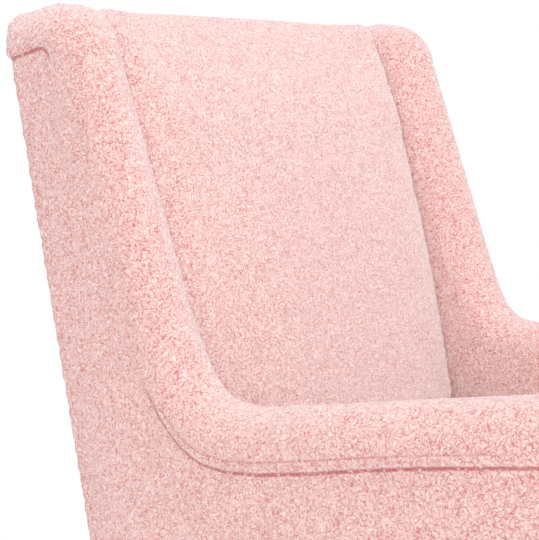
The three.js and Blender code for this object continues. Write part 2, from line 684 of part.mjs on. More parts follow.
function outerBackPanel() {
  const half = HALF_WIDTH - PANEL_RECESS;
  const round = PANEL_THICKNESS - 1;
  const full = backBar(0, backPanelTop, 0, PANEL_THICKNESS);
  const eased = backBar(0, backPanelTop, round, PANEL_THICKNESS);
  return loft([
    { x: -half, outline: eased },
    { x: round - half, outline: full },
    { x: half - round, outline: full },
    { x: half, outline: eased },
  ]);
}

// How far the inner back's front face stands from the outer back, at each height up the slope.
const backCrest = backPanelTop + TOP_SEAM_INSET;
function backDepthAt(up) {
  const ease = THREE.MathUtils.clamp((up - BACK_THINNING_START) / (backCrest - BACK_THINNING_START), 0, 1);
  return THREE.MathUtils.lerp(BACK_DEPTH, BACK_CREST_DEPTH, ease ** BACK_THINNING_POWER);
}

// How far up the back's slope the deck lies, at a given distance in from the outer back.
function deckUp(inward) {
  const low = onBack(0, inward);
  return (restingOnDeckAt(low.x) - low.y) / (backUp.y + backUp.x * Math.tan(degrees(SEAT_TILT)));
}

function backSection(crown, shrink) {
  const steps = 10;
  const crestUp = backCrest - shrink / 2;
  const bulgeAt = (i) => crown * Math.sin((Math.PI * (i + 2)) / (steps + 3)) - shrink;
  const front = Array.from({ length: steps + 1 }, (_, i) => {
    const up = THREE.MathUtils.lerp(deckUp(BACK_DEPTH + bulgeAt(0)), crestUp, i / steps);
    return onBack(up, backDepthAt(up) + bulgeAt(i));
  });
  const crestDepth = backDepthAt(crestUp) + bulgeAt(steps);
  const crest = [0.25, 0.5, 0.75].map((t) =>
    onBack(crestUp + BACK_CREST_RISE * Math.sin(Math.PI * t), crestDepth * (1 - t)),
  );
  const rear = [onBack(crestUp - BACK_SIDE_ROUND, 0), onBack(backPanelTop + GAP, 0)];
  const overRails = [onBack(backPanelTop + GAP, behindRails), onBack(deckUp(behindRails), behindRails)];
  return [...front, ...crest, ...rear, ...overRails];
}

function innerBackPad() {
  const stations = [-1, -0.95, -0.7, -0.35, 0, 0.35, 0.7, 0.95, 1];
  return loft(
    stations.map((s) => ({
      x: s * insideHalfWidth,
      outline: backSection(BACK_CROWN * (1 - s ** 4), Math.abs(s) === 1 ? BACK_SIDE_ROUND : 0),
    })),
  );
}

// A boxed loose cushion, tilted with the seat, crowned on top and cut to the slope of the inner back.
function seatCushion() {
  const half = insideHalfWidth - CUSHION_SIDE_CLEARANCE;
  const lowAt = restingOnDeckAt;
  const behind = onBack(0, BACK_DEPTH + BACK_CROWN + CUSHION_REAR_CLEARANCE);
  const rearAt = (z) => behind.x + (z - behind.y) * Math.tan(degrees(BACK_LEAN));
  const rearFoot = lowAt(rearAt(DECK_FRONT_Z));
  const section = (crown, shrink) => {
    const [front, r] = [ARM_FRONT_Y + CUSHION_SETBACK + shrink, CUSHION_ROUND];
    const rearLow = rearAt(rearFoot) - shrink;
    const rearHigh = rearAt(rearFoot + CUSHION_THICKNESS) - shrink;
    const topAt = (y) => lowAt(y) + CUSHION_THICKNESS - shrink;
    const crownAt = (y) => crown * Math.sin((Math.PI * (y - front)) / (rearHigh - front));
    const topYs = [0.15, 0.32, 0.5, 0.68, 0.85].map((t) => THREE.MathUtils.lerp(front, rearHigh, t));
    return [
      point(front + r, lowAt(front + r) + shrink),
      point(rearLow - r, lowAt(rearLow - r) + shrink),
      point(rearLow, lowAt(rearLow) + r + shrink),
      point(rearHigh, topAt(rearHigh) - r),
      point(rearHigh - r, topAt(rearHigh)),
      ...topYs.map((y) => point(y, topAt(y) + crownAt(y))).reverse(),
      point(front + r, topAt(front)),
      point(front, topAt(front) - r),
      point(front, lowAt(front) + r + shrink),
    ];
  };
  const stations = [-1, -0.96, -0.7, -0.35, 0, 0.35, 0.7, 0.96, 1];
  return loft(
    stations.map((s) => ({
      x: s * half,
      outline: section(CUSHION_CROWN * (1 - s ** 4), Math.abs(s) === 1 ? CUSHION_ROUND * 0.6 : 0),
    })),
  );
}

function upholsteryMiddle() {
  const group = new THREE.Group();
  add(group, "inner_back_pad", innerBackPad(), boucle);
  add(group, "outer_back_panel", outerBackPanel(), boucle);

  const apronY = ARM_FRONT_Y + APRON_RECESS;
  const apronTop = deckUndersideAt(frontRailY) - GAP;
  const half = insideHalfWidth;
  const apron = block(-half, half, apronY, apronY + APRON_THICKNESS, BODY_BOTTOM, apronTop);
  add(group, "front_apron", apron, boucle);

  const deckFrontY = apronY + DECK_SETBACK;
  const deck = [
    point(deckFrontY, deckUndersideAt(deckFrontY)),
    point(seatRearY, deckUndersideAt(seatRearY)),
    point(seatRearY, deckUndersideAt(seatRearY) + DECK_THICKNESS),
    point(deckFrontY, deckUndersideAt(deckFrontY) + DECK_THICKNESS),
  ];
  add(group, "seat_deck", prismX(deck, -half, half), dustCloth);

  const [dustX, dustY] = [railHalfLength, frontRailY + RAIL_THICKNESS + GAP];
  const dust = block(-dustX, dustX, dustY, seatRearY, dustCoverTop - DUST_COVER_THICKNESS, dustCoverTop);
  add(group, "dust_cover", dust, dustCloth);
  add(group, "seat_cushion", seatCushion(), cushionCloth);
  return group;
}

// One arm and wing with its frame, panel and mount rail, built on the sitter's left.
function bodySide(side) {
  const group = new THREE.Group();
  add(group, `side_frame_${side}`, sideFrame(), wood);
  add(group, `side_pad_${side}`, sidePad(), boucle);
  add(group, `outer_side_panel_${side}`, outerSidePanel(), boucle);
  add(group, `mount_rail_${side}`, mountRail(), wood);
  return group;
}

chair.add(ringBase(), swivelBearing(), crossbars(), frameRails(), suspension(), upholsteryMiddle());
for (const [side, mirror] of [["left", 1], ["right", -1]]) {
  for (const half of [linkageSide(side), bodySide(side)]) {
    half.scale.x = mirror;
    chair.add(half);
  }
}

export default chair;
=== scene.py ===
# %% [markdown]
# # A swivel glider for a nursery, dressed in boucle
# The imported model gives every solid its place: a ring base, a ball-bearing turntable, four glider
# links, a wooden frame and the upholstered body. This lesson dresses that frame. Hard parts keep
# their solids and get a worked finish. Soft parts are made again as padded fabric, because foam
# under cloth never has the flat faces of a solid.

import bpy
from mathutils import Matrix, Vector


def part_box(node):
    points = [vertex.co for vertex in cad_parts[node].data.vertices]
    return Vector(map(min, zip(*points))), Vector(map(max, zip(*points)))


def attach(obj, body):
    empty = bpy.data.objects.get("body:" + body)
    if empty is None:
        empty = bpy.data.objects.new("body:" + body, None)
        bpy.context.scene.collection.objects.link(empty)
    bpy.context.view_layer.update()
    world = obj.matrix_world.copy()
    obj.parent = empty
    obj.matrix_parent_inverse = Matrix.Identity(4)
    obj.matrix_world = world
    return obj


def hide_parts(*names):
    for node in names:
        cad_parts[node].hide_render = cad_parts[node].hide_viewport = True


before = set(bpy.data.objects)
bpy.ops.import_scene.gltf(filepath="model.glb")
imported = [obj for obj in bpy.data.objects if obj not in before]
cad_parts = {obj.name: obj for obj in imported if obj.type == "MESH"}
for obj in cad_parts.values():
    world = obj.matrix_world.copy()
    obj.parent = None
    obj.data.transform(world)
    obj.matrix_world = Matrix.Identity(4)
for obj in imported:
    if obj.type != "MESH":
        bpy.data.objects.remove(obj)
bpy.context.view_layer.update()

# %% [markdown]
# ## Helpers
# A material in Blender is a tree of nodes, and a piece is an object with a mesh as its data. Both
# could be made with Blender's operators, as the menus do, but operators act on whatever is selected
# and open. Making the data directly always does the same thing. Lengths are in metres, so MM stands
# beside every small one.

# %% Modules and helpers used all through
import math
from types import SimpleNamespace

import bmesh
import bpy
import numpy as np
from mathutils import Vector, noise

MM = 0.001
scene = bpy.context.scene


def node(tree, kind, inputs=None, **settings):
    """A shader node with its settings made and its inputs filled, by a value or by another's output."""
    made = tree.nodes.new("ShaderNode" + kind)
    for key, value in settings.items():
        setattr(made, key, value)
    for key, value in (inputs or {}).items():
        if isinstance(value, bpy.types.NodeSocket):
            tree.links.new(value, made.inputs[key])
        else:
            made.inputs[key].default_value = value
    return made


def maths(tree, operation, *values):
    """The result of one Math node."""
    return node(tree, "Math", dict(enumerate(values)), operation=operation).outputs[0]


def new_object(name, data):
    """An object in the scene, with the data given."""
    made = bpy.data.objects.new(name, data)
    scene.collection.objects.link(made)
    return made


def mesh_from(shape, name):
    """A mesh with the faces that were built up in shape, which is then let go."""
    mesh = bpy.data.meshes.new(name)
    shape.to_mesh(mesh)
    shape.free()
    return mesh


# %% [markdown]
# ## Camera
# The chair is seen from in front of its right arm, from a little below the top of its back, with a
# long lens. A camera could be aimed with a constraint, but three plain numbers for its place and two
# angles say exactly the same thing and can be read at a glance.

# %% Make the camera
CAMERA_AT = (-1.4151, -0.7712, 0.8966)
LOOKS_TOWARDS = math.radians(-52.605)  # turn about Z
LOOKS_DOWN = math.radians(7.465)
LENS_MM, SENSOR_MM = 93.33, 36.0

camera = new_object("camera", bpy.data.cameras.new("camera"))
camera.data.lens = LENS_MM
camera.data.sensor_width = SENSOR_MM
camera.data.clip_start = 0.05
camera.location = CAMERA_AT
camera.rotation_euler = (math.pi / 2 - LOOKS_DOWN, 0, LOOKS_TOWARDS)
scene.camera = camera
print("camera height", CAMERA_AT[2], "m")

# %% [markdown]
# ## Room light
# A pale fabric shows its pile only when light comes softly from one side and is filled from the
# others. A strong sun would print hard shadows and wash the pink out. So there are large area lamps
# and an even sky. Camera rays see the sky as plain white, while the light that it gives to the cloth
# stays at its own level.

# %% Sky and lamps
SKY_LEVEL = 0.75
SKY_COLOUR = (0.99, 0.97, 0.965, 1)
LAMPS = {
    "key_lamp": {"at": (-0.2, -2.8, 2.2), "size": 2.2, "watts": 14, "colour": (0.925, 1.0, 1.0)},
    "side_lamp": {"at": (-2.6, -1.6, 1.6), "size": 2.0, "watts": 35.8, "colour": (1.0, 0.94, 0.925)},
    "top_lamp": {"at": (0.0, -0.3, 3.4), "size": 2.5, "watts": 41, "colour": (0.925, 1.0, 1.0)},
}
LAMPS_AIM_AT = Vector((0, 0, 0.55))
WHITE = (1, 1, 1, 1)


def seen_directly(tree):
    """A value that is 1 for camera, mirror and glass rays, and 0 for light on its way to a surface."""
    path = node(tree, "LightPath").outputs
    first = maths(tree, "MAXIMUM", path["Is Camera Ray"], path["Is Glossy Ray"])
    return maths(tree, "MAXIMUM", first, path["Is Transmission Ray"])


def white_world():
    world = bpy.data.worlds.new("studio_sky")
    world.use_nodes = True
    tree = world.node_tree
    tree.nodes.clear()
    light = node(tree, "Background", {"Color": SKY_COLOUR, "Strength": SKY_LEVEL})
    seen = node(tree, "Background", {"Color": WHITE, "Strength": 1.0})
    mix = node(tree, "MixShader", {0: seen_directly(tree), 1: light.outputs[0], 2: seen.outputs[0]})
    node(tree, "OutputWorld", {"Surface": mix.outputs[0]})
    return world


scene.world = white_world()
for name, lamp in LAMPS.items():
    data = bpy.data.lights.new(name, "AREA")
    data.shape = "DISK"
    data.size = lamp["size"]
    data.energy = lamp["watts"]
    data.color = lamp["colour"]
    light = new_object(name, data)
    light.location = lamp["at"]
    light.rotation_euler = (LAMPS_AIM_AT - Vector(lamp["at"])).to_track_quat("-Z", "Y").to_euler()
scene.view_settings.view_transform = "Standard"
print("lamps:", {name: lamp["watts"] for name, lamp in LAMPS.items()})

# %% [markdown]
# ## Floor
# The chair stands on a pale studio floor. Near the chair the floor is an ordinary dull surface, so it
# takes the chair's shadow. Further out it turns to plain white for anything that looks straight at
# it, so the floor and the sky meet without a line.

# %% Lay the floor
FLOOR_RADIUS, FLOOR_SIDES = 7.0, 96
FLOOR_GREY = (0.86, 0.86, 0.86, 1)
SHADOW_ENDS = (0.55, 1.15)  # metres from the middle where the floor turns white


def floor_material():
    material = bpy.data.materials.new("studio_floor")
    material.use_nodes = True
    tree = material.node_tree
    surface = tree.nodes["Principled BSDF"]
    surface.inputs["Base Color"].default_value = FLOOR_GREY
    surface.inputs["Roughness"].default_value = 0.9
    place = node(tree, "TexCoord").outputs["Object"]
    out = node(tree, "VectorMath", {0: place}, operation="LENGTH").outputs["Value"]
    near, far = SHADOW_ENDS
    fade = {"Value": out, "From Min": near, "From Max": far}
    share = node(tree, "MapRange", fade, interpolation_type="SMOOTHSTEP").outputs[0]
    gate = maths(tree, "MULTIPLY", share, seen_directly(tree))
    white = node(tree, "Emission", {"Color": WHITE, "Strength": 1.0})
    mix = node(tree, "MixShader", {0: gate, 1: surface.outputs[0], 2: white.outputs[0]})
    tree.links.new(mix.outputs[0], tree.nodes["Material Output"].inputs["Surface"])
    return material


disc = bmesh.new()
bmesh.ops.create_circle(disc, cap_ends=True, segments=FLOOR_SIDES, radius=FLOOR_RADIUS)
floor = new_object("floor", mesh_from(disc, "floor"))
floor.data.materials.append(floor_material())
print("floor radius", FLOOR_RADIUS, "m")

# %% [markdown]
# ## Shared effects
# Several finishes need the same things: loops of yarn, wood grain, worn edges, fine specks. Each one
# is built once as a node group with named inputs and outputs, and every material then places it with
# its own values. The group gives only masks and heights. The shader stays in the material.


# %% A group with named sockets
def effect(name, takes, gives):
    """A new node group. Returns its tree, what comes in and what goes out."""
    tree = bpy.data.node_groups.new(name, "ShaderNodeTree")
    for label, value in takes.items():
        kind = "Vector" if label == "Position" or isinstance(value, tuple) else "Float"
        socket = tree.interface.new_socket(label, in_out="INPUT", socket_type="NodeSocket" + kind)
        if value is not None:
            socket.default_value = value
    for label in gives:
        tree.interface.new_socket(label, in_out="OUTPUT", socket_type="NodeSocketFloat")
    return tree, tree.nodes.new("NodeGroupInput").outputs, tree.nodes.new("NodeGroupOutput").inputs


def between(tree, value, low, high, out_low=0.0, out_high=1.0):
    """Value mapped smoothly from low..high to out_low..out_high, and held there."""
    ends = {"Value": value, "From Min": low, "From Max": high, "To Min": out_low, "To Max": out_high}
    return node(tree, "MapRange", ends, interpolation_type="SMOOTHSTEP").outputs[0]


def cloud(tree, place, scale, detail=1.0, part="Fac"):
    """Soft noise over the place given."""
    return node(tree, "TexNoise", {"Vector": place, "Scale": scale, "Detail": detail}).outputs[part]


# %% [markdown]
# ### Loops of boucle yarn
# Boucle is woven from yarn with small loops that curl over each other, so the eye sees pale curls
# with dark, winding gaps between them. Plain round cells look like leather or foam. Here the place is
# first pushed about by soft noise, so that rows never form. Then the lines along which a second noise
# passes its middle value are taken as the winding gaps, and small cells give each curl its round top.


# %% Build the loops
WANDERS_OVER, PUSHED_OVER = 0.45, 0.4  # noise that pushes the place about: its scale and its reach
WINDS_OVER, CLUMPS_OVER = 0.55, 0.24  # scales of the gaps and of the clumps, next to one loop's
GAP_HALF_WIDTH = 0.07  # how far from its middle value the second noise still counts as a gap
# GAP_SHADE and LOW_SHADE set painted shade: how dark a gap between curls is painted, and the low side of
# each curl.
GAP_SHADE, LOW_SHADE = 0.93, 0.45  # how dark a gap is, and the low side of a curl


def make_loops():
    tree, takes, gives = effect(
        "boucle_loops",
        {"Position": None, "Loops per Metre": 230.0, "Looseness": 1.0},
        ("Height", "Gap", "Clump"),
    )
    place, density = takes["Position"], takes["Loops per Metre"]
    wander = cloud(tree, place, maths(tree, "MULTIPLY", density, WANDERS_OVER), 1.0, "Color")
    centred = node(tree, "VectorMath", {0: wander, 1: (0.5, 0.5, 0.5)}, operation="SUBTRACT").outputs[0]
    reach = maths(tree, "DIVIDE", takes["Looseness"], maths(tree, "MULTIPLY", density, PUSHED_OVER))
    push = node(tree, "VectorMath", {0: centred, "Scale": reach}, operation="SCALE").outputs[0]
    moved = node(tree, "VectorMath", {0: place, 1: push}, operation="ADD").outputs[0]
    winding = cloud(tree, moved, maths(tree, "MULTIPLY", density, WINDS_OVER), 1.2)
    off_line = maths(tree, "ABSOLUTE", maths(tree, "SUBTRACT", winding, 0.5))
    gap = between(tree, off_line, 0.0, GAP_HALF_WIDTH, 1.0, 0.0)
    cells = node(tree, "TexVoronoi", {"Vector": moved, "Scale": density}, feature="F1").outputs["Distance"]
    knob = between(tree, cells, 0.1, 0.8, 1.0, 0.0)
    clump = cloud(tree, place, maths(tree, "MULTIPLY", density, CLUMPS_OVER), 1.5)
    height = maths(tree, "MULTIPLY", maths(tree, "ADD", knob, maths(tree, "SUBTRACT", 1.0, gap)), 0.5)
    low = maths(tree, "MULTIPLY", maths(tree, "SUBTRACT", 1.0, knob), LOW_SHADE)
    tree.links.new(height, gives["Height"])
    # The Gap output is painted shade: dark in the winding gaps between the curls and on the low side of
    # each curl.
    tree.links.new(maths(tree, "MAXIMUM", maths(tree, "MULTIPLY", gap, GAP_SHADE), low), gives["Gap"])
    tree.links.new(between(tree, clump, 0.32, 0.68), gives["Clump"])
    return tree


LOOPS = make_loops()
print("effect", LOOPS.name, [socket.name for socket in LOOPS.interface.items_tree])

# %% [markdown]
# ### Grain, weave, specks and worn edges
# Wood grain is noise drawn out along the board. A plain weave is two sets of ribs that take turns on
# top. Specks are fine noise with a hard threshold, for powder coat and zinc. A worn edge is found by
# comparing the true normal with one rounded over a small radius: they differ only near an edge.


# %% Build grain and weave
RINGS_AT_A_KNOT = 30.0


def make_grain():
    tree, takes, gives = effect(
        "wood_grain", {"Position": None, "Stretch": (6.0, 90.0, 90.0), "Knots": 0.4}, ("Ring", "Fibre")
    )
    board = {0: takes["Position"], 1: takes["Stretch"]}
    drawn = node(tree, "VectorMath", board, operation="MULTIPLY").outputs[0]
    bend = cloud(tree, drawn, scale=0.35, detail=2.0)
    swing = maths(tree, "MULTIPLY", bend, maths(tree, "MULTIPLY", takes["Knots"], RINGS_AT_A_KNOT))
    rings = maths(tree, "SINE", swing)
    tree.links.new(between(tree, rings, -1.0, 1.0), gives["Ring"])
    tree.links.new(cloud(tree, drawn, scale=9.0, detail=3.0), gives["Fibre"])
    return tree


def make_weave():
    tree, takes, gives = effect(
        "plain_weave", {"Position": None, "Threads per Metre": 900.0}, ("Height", "Shade")
    )
    turns = maths(tree, "MULTIPLY", takes["Threads per Metre"], math.pi)
    apart = node(tree, "SeparateXYZ", {0: takes["Position"]}).outputs
    waves = [maths(tree, "SINE", maths(tree, "MULTIPLY", apart[axis], turns)) for axis in "XY"]
    over = between(tree, maths(tree, "MULTIPLY", *waves), -0.35, 0.35)
    ribs = [maths(tree, "ABSOLUTE", wave) for wave in waves]
    warp = maths(tree, "MULTIPLY", ribs[0], over)
    weft = maths(tree, "MULTIPLY", ribs[1], maths(tree, "SUBTRACT", 1.0, over))
    height = maths(tree, "ADD", warp, weft)
    tree.links.new(height, gives["Height"])
    # Shade is painted shade: the low parts of the weave, between the raised threads, are darker, more so
    # where the slubs say.
    slub = cloud(tree, takes["Position"], scale=260.0, detail=2.0)
    tree.links.new(maths(tree, "MULTIPLY", maths(tree, "SUBTRACT", 1.0, height), slub), gives["Shade"])
    return tree


GRAIN, WEAVE = make_grain(), make_weave()
print("effects:", GRAIN.name, WEAVE.name)


# %% Build specks and worn edges
BLOTCH_OVER = 0.03  # scale of the blotches, next to one speck's
ROUNDED_BY = (0.98, 0.82)  # how alike the two normals are where bare metal starts and is full


def make_specks():
    tree, takes, gives = effect("specks", {"Position": None, "Specks per Metre": 900.0}, ("Fine", "Blotch"))
    fine = cloud(tree, takes["Position"], takes["Specks per Metre"], 2.0)
    blotches = maths(tree, "MULTIPLY", takes["Specks per Metre"], BLOTCH_OVER)
    blotch = cloud(tree, takes["Position"], blotches, 3.0)
    tree.links.new(between(tree, fine, 0.35, 0.65), gives["Fine"])
    tree.links.new(between(tree, blotch, 0.35, 0.65), gives["Blotch"])
    return tree


def make_worn_edge():
    tree, takes, gives = effect("worn_edge", {"Position": None, "Reach": 0.0015}, ("Edge",))
    true_way = node(tree, "NewGeometry").outputs["Normal"]
    rounded = node(tree, "Bevel", {"Radius": takes["Reach"]}, samples=4).outputs["Normal"]
    same = node(tree, "VectorMath", {0: true_way, 1: rounded}, operation="DOT_PRODUCT").outputs["Value"]
    rough = cloud(tree, takes["Position"], scale=220.0, detail=3.0)
    bare = maths(tree, "MULTIPLY", between(tree, same, *ROUNDED_BY), between(tree, rough, 0.4, 0.6))
    tree.links.new(bare, gives["Edge"])
    return tree


SPECKS, WORN = make_specks(), make_worn_edge()
print("effects:", SPECKS.name, WORN.name)

# %% [markdown]
# ## Finishes
# Each finish is one material: its shader, the effects that it needs, and its own colours. Colours
# are written as the eye sees them, from 0 to 255, and turned into the shader's linear light once.


# %% A material with a shader to fill
def colour(red, green, blue):
    """A colour as seen, 0 to 255, in linear light."""
    parts = [part / 255 for part in (red, green, blue)]
    return (*[part / 12.92 if part <= 0.04045 else ((part + 0.055) / 1.055) ** 2.4 for part in parts], 1)


def finish(name, **sockets):
    """A new material. Sockets that are the same all over the surface are set on the shader itself."""
    material = bpy.data.materials.new(name)
    material.use_nodes = True
    tree = material.node_tree
    shader = tree.nodes["Principled BSDF"]
    for label, value in sockets.items():
        shader.inputs[label.replace("_", " ")].default_value = value
    return material, tree, shader, node(tree, "TexCoord").outputs["Object"]


def placed(tree, effect_tree, place, **values):
    """An effect placed in a material. Returns its outputs."""
    made = tree.nodes.new("ShaderNodeGroup")
    made.node_tree = effect_tree
    tree.links.new(place, made.inputs["Position"])
    for label, value in values.items():
        made.inputs[label.replace("_", " ")].default_value = value
    return made.outputs


def blend_colours(tree, share, first, second):
    """The first colour where share is 0, the second where it is 1."""
    mixed = tree.nodes.new("ShaderNodeMix")
    mixed.data_type = "RGBA"
    for socket, value in zip((0, 6, 7), (share, first, second)):
        if isinstance(value, bpy.types.NodeSocket):
            tree.links.new(value, mixed.inputs[socket])
        else:
            mixed.inputs[socket].default_value = value
    return mixed.outputs[2]


def raise_surface(tree, shader, height, depth, strength=1.0):
    """Bumps the shader's normal by a height that is depth metres tall."""
    bump = node(tree, "Bump", {"Height": height, "Distance": depth, "Strength": strength}).outputs[0]
    tree.links.new(bump, shader.inputs["Normal"])


# %% [markdown]
# ### Boucle
# The cloth is a pale rose boucle. Its light curls and its darker gaps differ more in depth than in
# dye: light that goes down into a gap comes back redder. The gaps are painted with a deeper rose, as
# painted shade, and the same height bumps the surface. The mesh itself carries "crease", 1 in the
# folds of the modelled pile, where more painted shade goes, and "seam", the distance from a sewn line.
# A mask that peaks on the line would be cut short between two points of the mesh and come out as
# dashes, but a distance with a sign stays straight. "sewn" and "stitched" say how much of the seam's
# thread and of a second row of stitches shows. Their line is painted in a deep rose that is partly
# thread and partly painted shade of the groove that the seam pulls in.
# Between the wings, light bounces from cloth to cloth many times, and each bounce would make the
# shadows redder than a soft studio's fill lets them be. So a light ray that has already left one
# surface sees the cloth in a paler rose.

# %% Draw a sewn line
# The sewn lines are painted in a deep rose: partly the thread, partly painted shade of the groove that each
# row pulls into the cloth.
THREAD_HALF_WIDTH, STITCH_HALF_WIDTH = 3.0 * MM, 1.7 * MM
STITCH_OFF_SEAM = 12.5 * MM  # a second row of stitches runs this far from the arm's seam
PILE_HIDES = (0.27, 0.5)  # between these values of a fine noise, the pile lets the thread show


def sewn_line(tree, off, at, half_width):
    """1 on a line sewn at a given distance from the seam, 0 beyond its half width."""
    away = maths(tree, "ABSOLUTE", maths(tree, "SUBTRACT", off, at))
    return maths(tree, "SUBTRACT", 1.0, between(tree, away, 0.25 * half_width, half_width))


def seam_line_and_shade(tree, place):
    """A mask for the thread of both rows and the painted shade of their grooves, broken where the pile lies
    over it.
    """
    off, sewn, stitched = (
        node(tree, "Attribute", attribute_name=kept).outputs["Fac"] for kept in ("seam", "sewn", "stitched")
    )
    broken = between(tree, cloud(tree, place, scale=260.0, detail=2.0), *PILE_HIDES)
    thread = maths(tree, "MULTIPLY", sewn_line(tree, off, 0.0, THREAD_HALF_WIDTH), sewn)
    second = maths(tree, "MULTIPLY", sewn_line(tree, off, STITCH_OFF_SEAM, STITCH_HALF_WIDTH), stitched)
    return maths(tree, "MULTIPLY", maths(tree, "MAXIMUM", thread, second), broken)


# %% Mix the boucle
CURL_ROSE = colour(251, 223, 217)
# The gaps between the curls are painted in this deeper rose, as painted shade.
GAP_SHADE_ROSE = colour(207, 110, 111)
SEAM_LINE_SHADE_ROSE = colour(184, 70, 70)
BOUNCE_ROSE = colour(243, 232, 230)
LOOPS_PER_METRE = 395.0
LOOP_HEIGHT, LOOP_RELIEF = 2 * MM, 0.66  # a curl's height, and how much of it the light may show
CLUMPS_VARY = (0.97, 1.08)  # how dark the gaps are from clump to clump
CREASE_SHADE = 0.1  # and in the creases of the modelled pile


def boucle(name):
    material, tree, shader, place = finish(
        name,
        Roughness=0.92,
        Sheen_Weight=0.8,
        Sheen_Roughness=0.6,
        Sheen_Tint=(1.0, 1.0, 1.0, 1),
        Specular_IOR_Level=0.25,
    )
    yarn = placed(tree, LOOPS, place, Loops_per_Metre=LOOPS_PER_METRE)
    crease = node(tree, "Attribute", attribute_name="crease").outputs["Fac"]
    # Painted shade: the gaps between the curls, darker or lighter from clump to clump, and the creases of
    # the modelled pile all pull the cloth towards the deeper rose.
    dark = maths(tree, "MULTIPLY", yarn["Gap"], between(tree, yarn["Clump"], 0.0, 1.0, *CLUMPS_VARY))
    dark = maths(tree, "ADD", dark, maths(tree, "MULTIPLY", crease, CREASE_SHADE))
    cloth = blend_colours(tree, maths(tree, "MINIMUM", dark, 1.0), CURL_ROSE, GAP_SHADE_ROSE)
    # Painted shade along the seams: the sewn lines are mixed in as thread and as the shade of their
    # grooves.
    seamed_and_shaded = blend_colours(tree, seam_line_and_shade(tree, place), cloth, SEAM_LINE_SHADE_ROSE)
    bounced = node(tree, "LightPath").outputs["Is Diffuse Ray"]
    tree.links.new(blend_colours(tree, bounced, seamed_and_shaded, BOUNCE_ROSE), shader.inputs["Base Color"])
    raise_surface(tree, shader, yarn["Height"], LOOP_HEIGHT, LOOP_RELIEF)
    return material


ROSE = boucle("rose_boucle")
print("finish", ROSE.name, "curl", [round(part, 3) for part in CURL_ROSE[:3]])

# %% [markdown]
# ### Lining cloths
# Where nobody looks, a maker uses cheaper cloth: a plain weave over the seat deck under the cushion,
# and a thin bonded felt across the underside that keeps dust off the springs.


# %% Mix the linings
FELT_DIMPLES = 420.0  # per metre


def deck_lining():
    material, tree, shader, place = finish("deck_lining", Roughness=0.9, Sheen_Weight=0.1)
    weave = placed(tree, WEAVE, place, Threads_per_Metre=620.0)
    # The darker colour is painted shade between the threads of the weave.
    shade = blend_colours(tree, weave["Shade"], colour(196, 186, 178), colour(120, 110, 104))
    tree.links.new(shade, shader.inputs["Base Color"])
    raise_surface(tree, shader, weave["Height"], 0.0005)
    return material


def dust_felt():
    material, tree, shader, place = finish("dust_felt", Roughness=0.95)
    fluff = placed(tree, SPECKS, place, Specks_per_Metre=FELT_DIMPLES)
    rows = {"Vector": place, "Scale": FELT_DIMPLES, "Randomness": 0.15}
    dimples = between(tree, node(tree, "TexVoronoi", rows).outputs["Distance"], 0.12, 0.3)
    shade = blend_colours(tree, fluff["Fine"], colour(38, 38, 41), colour(62, 61, 64))
    tree.links.new(shade, shader.inputs["Base Color"])
    raise_surface(tree, shader, dimples, 0.0004)
    return material


LINING, FELT = deck_lining(), dust_felt()
print("linings:", LINING.name, FELT.name)

# %% [markdown]
# ### Timber
# The side frames are cut from birch plywood, so their edges show thin layers of turned grain. The
# rails are sawn pine with long rings and darker fibre.


# %% Mix the timbers
PLY_PAIR = 6.4 * MM  # two layers of the plywood, one lengthwise and one across


def pine():
    material, tree, shader, place = finish("sawn_pine", Specular_IOR_Level=0.3)
    wood = placed(tree, GRAIN, place, Stretch=(5.0, 70.0, 70.0), Knots=0.5)
    base = blend_colours(tree, wood["Ring"], colour(222, 184, 136), colour(196, 150, 100))
    shade = blend_colours(tree, maths(tree, "MULTIPLY", wood["Fibre"], 0.35), base, colour(150, 105, 66))
    tree.links.new(shade, shader.inputs["Base Color"])
    tree.links.new(between(tree, wood["Fibre"], 0.3, 0.7, 0.6, 0.8), shader.inputs["Roughness"])
    raise_surface(tree, shader, wood["Fibre"], 0.0004, 0.6)
    return material


def plywood():
    material, tree, shader, place = finish("birch_plywood", Specular_IOR_Level=0.3)
    wood = placed(tree, GRAIN, place, Stretch=(60.0, 60.0, 5.0), Knots=0.45)
    across = node(tree, "SeparateXYZ", {0: place}).outputs["X"]
    layer = maths(tree, "SINE", maths(tree, "MULTIPLY", across, 2 * math.pi / PLY_PAIR))
    base = blend_colours(tree, between(tree, layer, -0.3, 0.3), colour(226, 196, 152), colour(180, 138, 96))
    shade = blend_colours(tree, maths(tree, "MULTIPLY", wood["Ring"], 0.3), base, colour(190, 150, 106))
    tree.links.new(shade, shader.inputs["Base Color"])
    tree.links.new(between(tree, wood["Fibre"], 0.3, 0.7, 0.55, 0.75), shader.inputs["Roughness"])
    raise_surface(tree, shader, wood["Fibre"], 0.0003, 0.5)
    return material


PINE, PLY = pine(), plywood()
print("timbers:", PINE.name, PLY.name)

# %% [markdown]
# ### Metal, rubber and nylon
# The ring base, stands and hangers are powder-coated black: a tough paint with a fine orange-peel
# skin that wears to grey on its edges. Links, pins, bolts and bearing races are zinc plated, with the
# faint blotches of passivation. The springs are oiled wire. Bumpers are rubber with a little dust, and
# the floor pads and the ball ring are nylon. All five are a thin skin with specks and blotches, so one
# recipe mixes them from different numbers. Five separate trees would say the same thing five times.


# %% Mix a hard finish
def hard_finish(name, specks, tones, rough_in, rough, skin_depth, worn=None, **sockets):
    """Two tones in blotches, fine specks in relief, a roughness that varies with one of them, and, if
    worn gives their reach and tone, edges rubbed bare."""
    material, tree, shader, place = finish(name, **sockets)
    skin = placed(tree, SPECKS, place, Specks_per_Metre=specks)
    shade = blend_colours(tree, skin["Blotch"], *(colour(*tone) for tone in tones))
    if worn:
        reach, bare = worn
        edge = placed(tree, WORN, place, Reach=reach)["Edge"]
        shade = blend_colours(tree, edge, shade, colour(*bare))
    tree.links.new(shade, shader.inputs["Base Color"])
    tree.links.new(between(tree, skin[rough_in], 0.0, 1.0, *rough), shader.inputs["Roughness"])
    raise_surface(tree, shader, skin["Fine"], skin_depth)
    return material


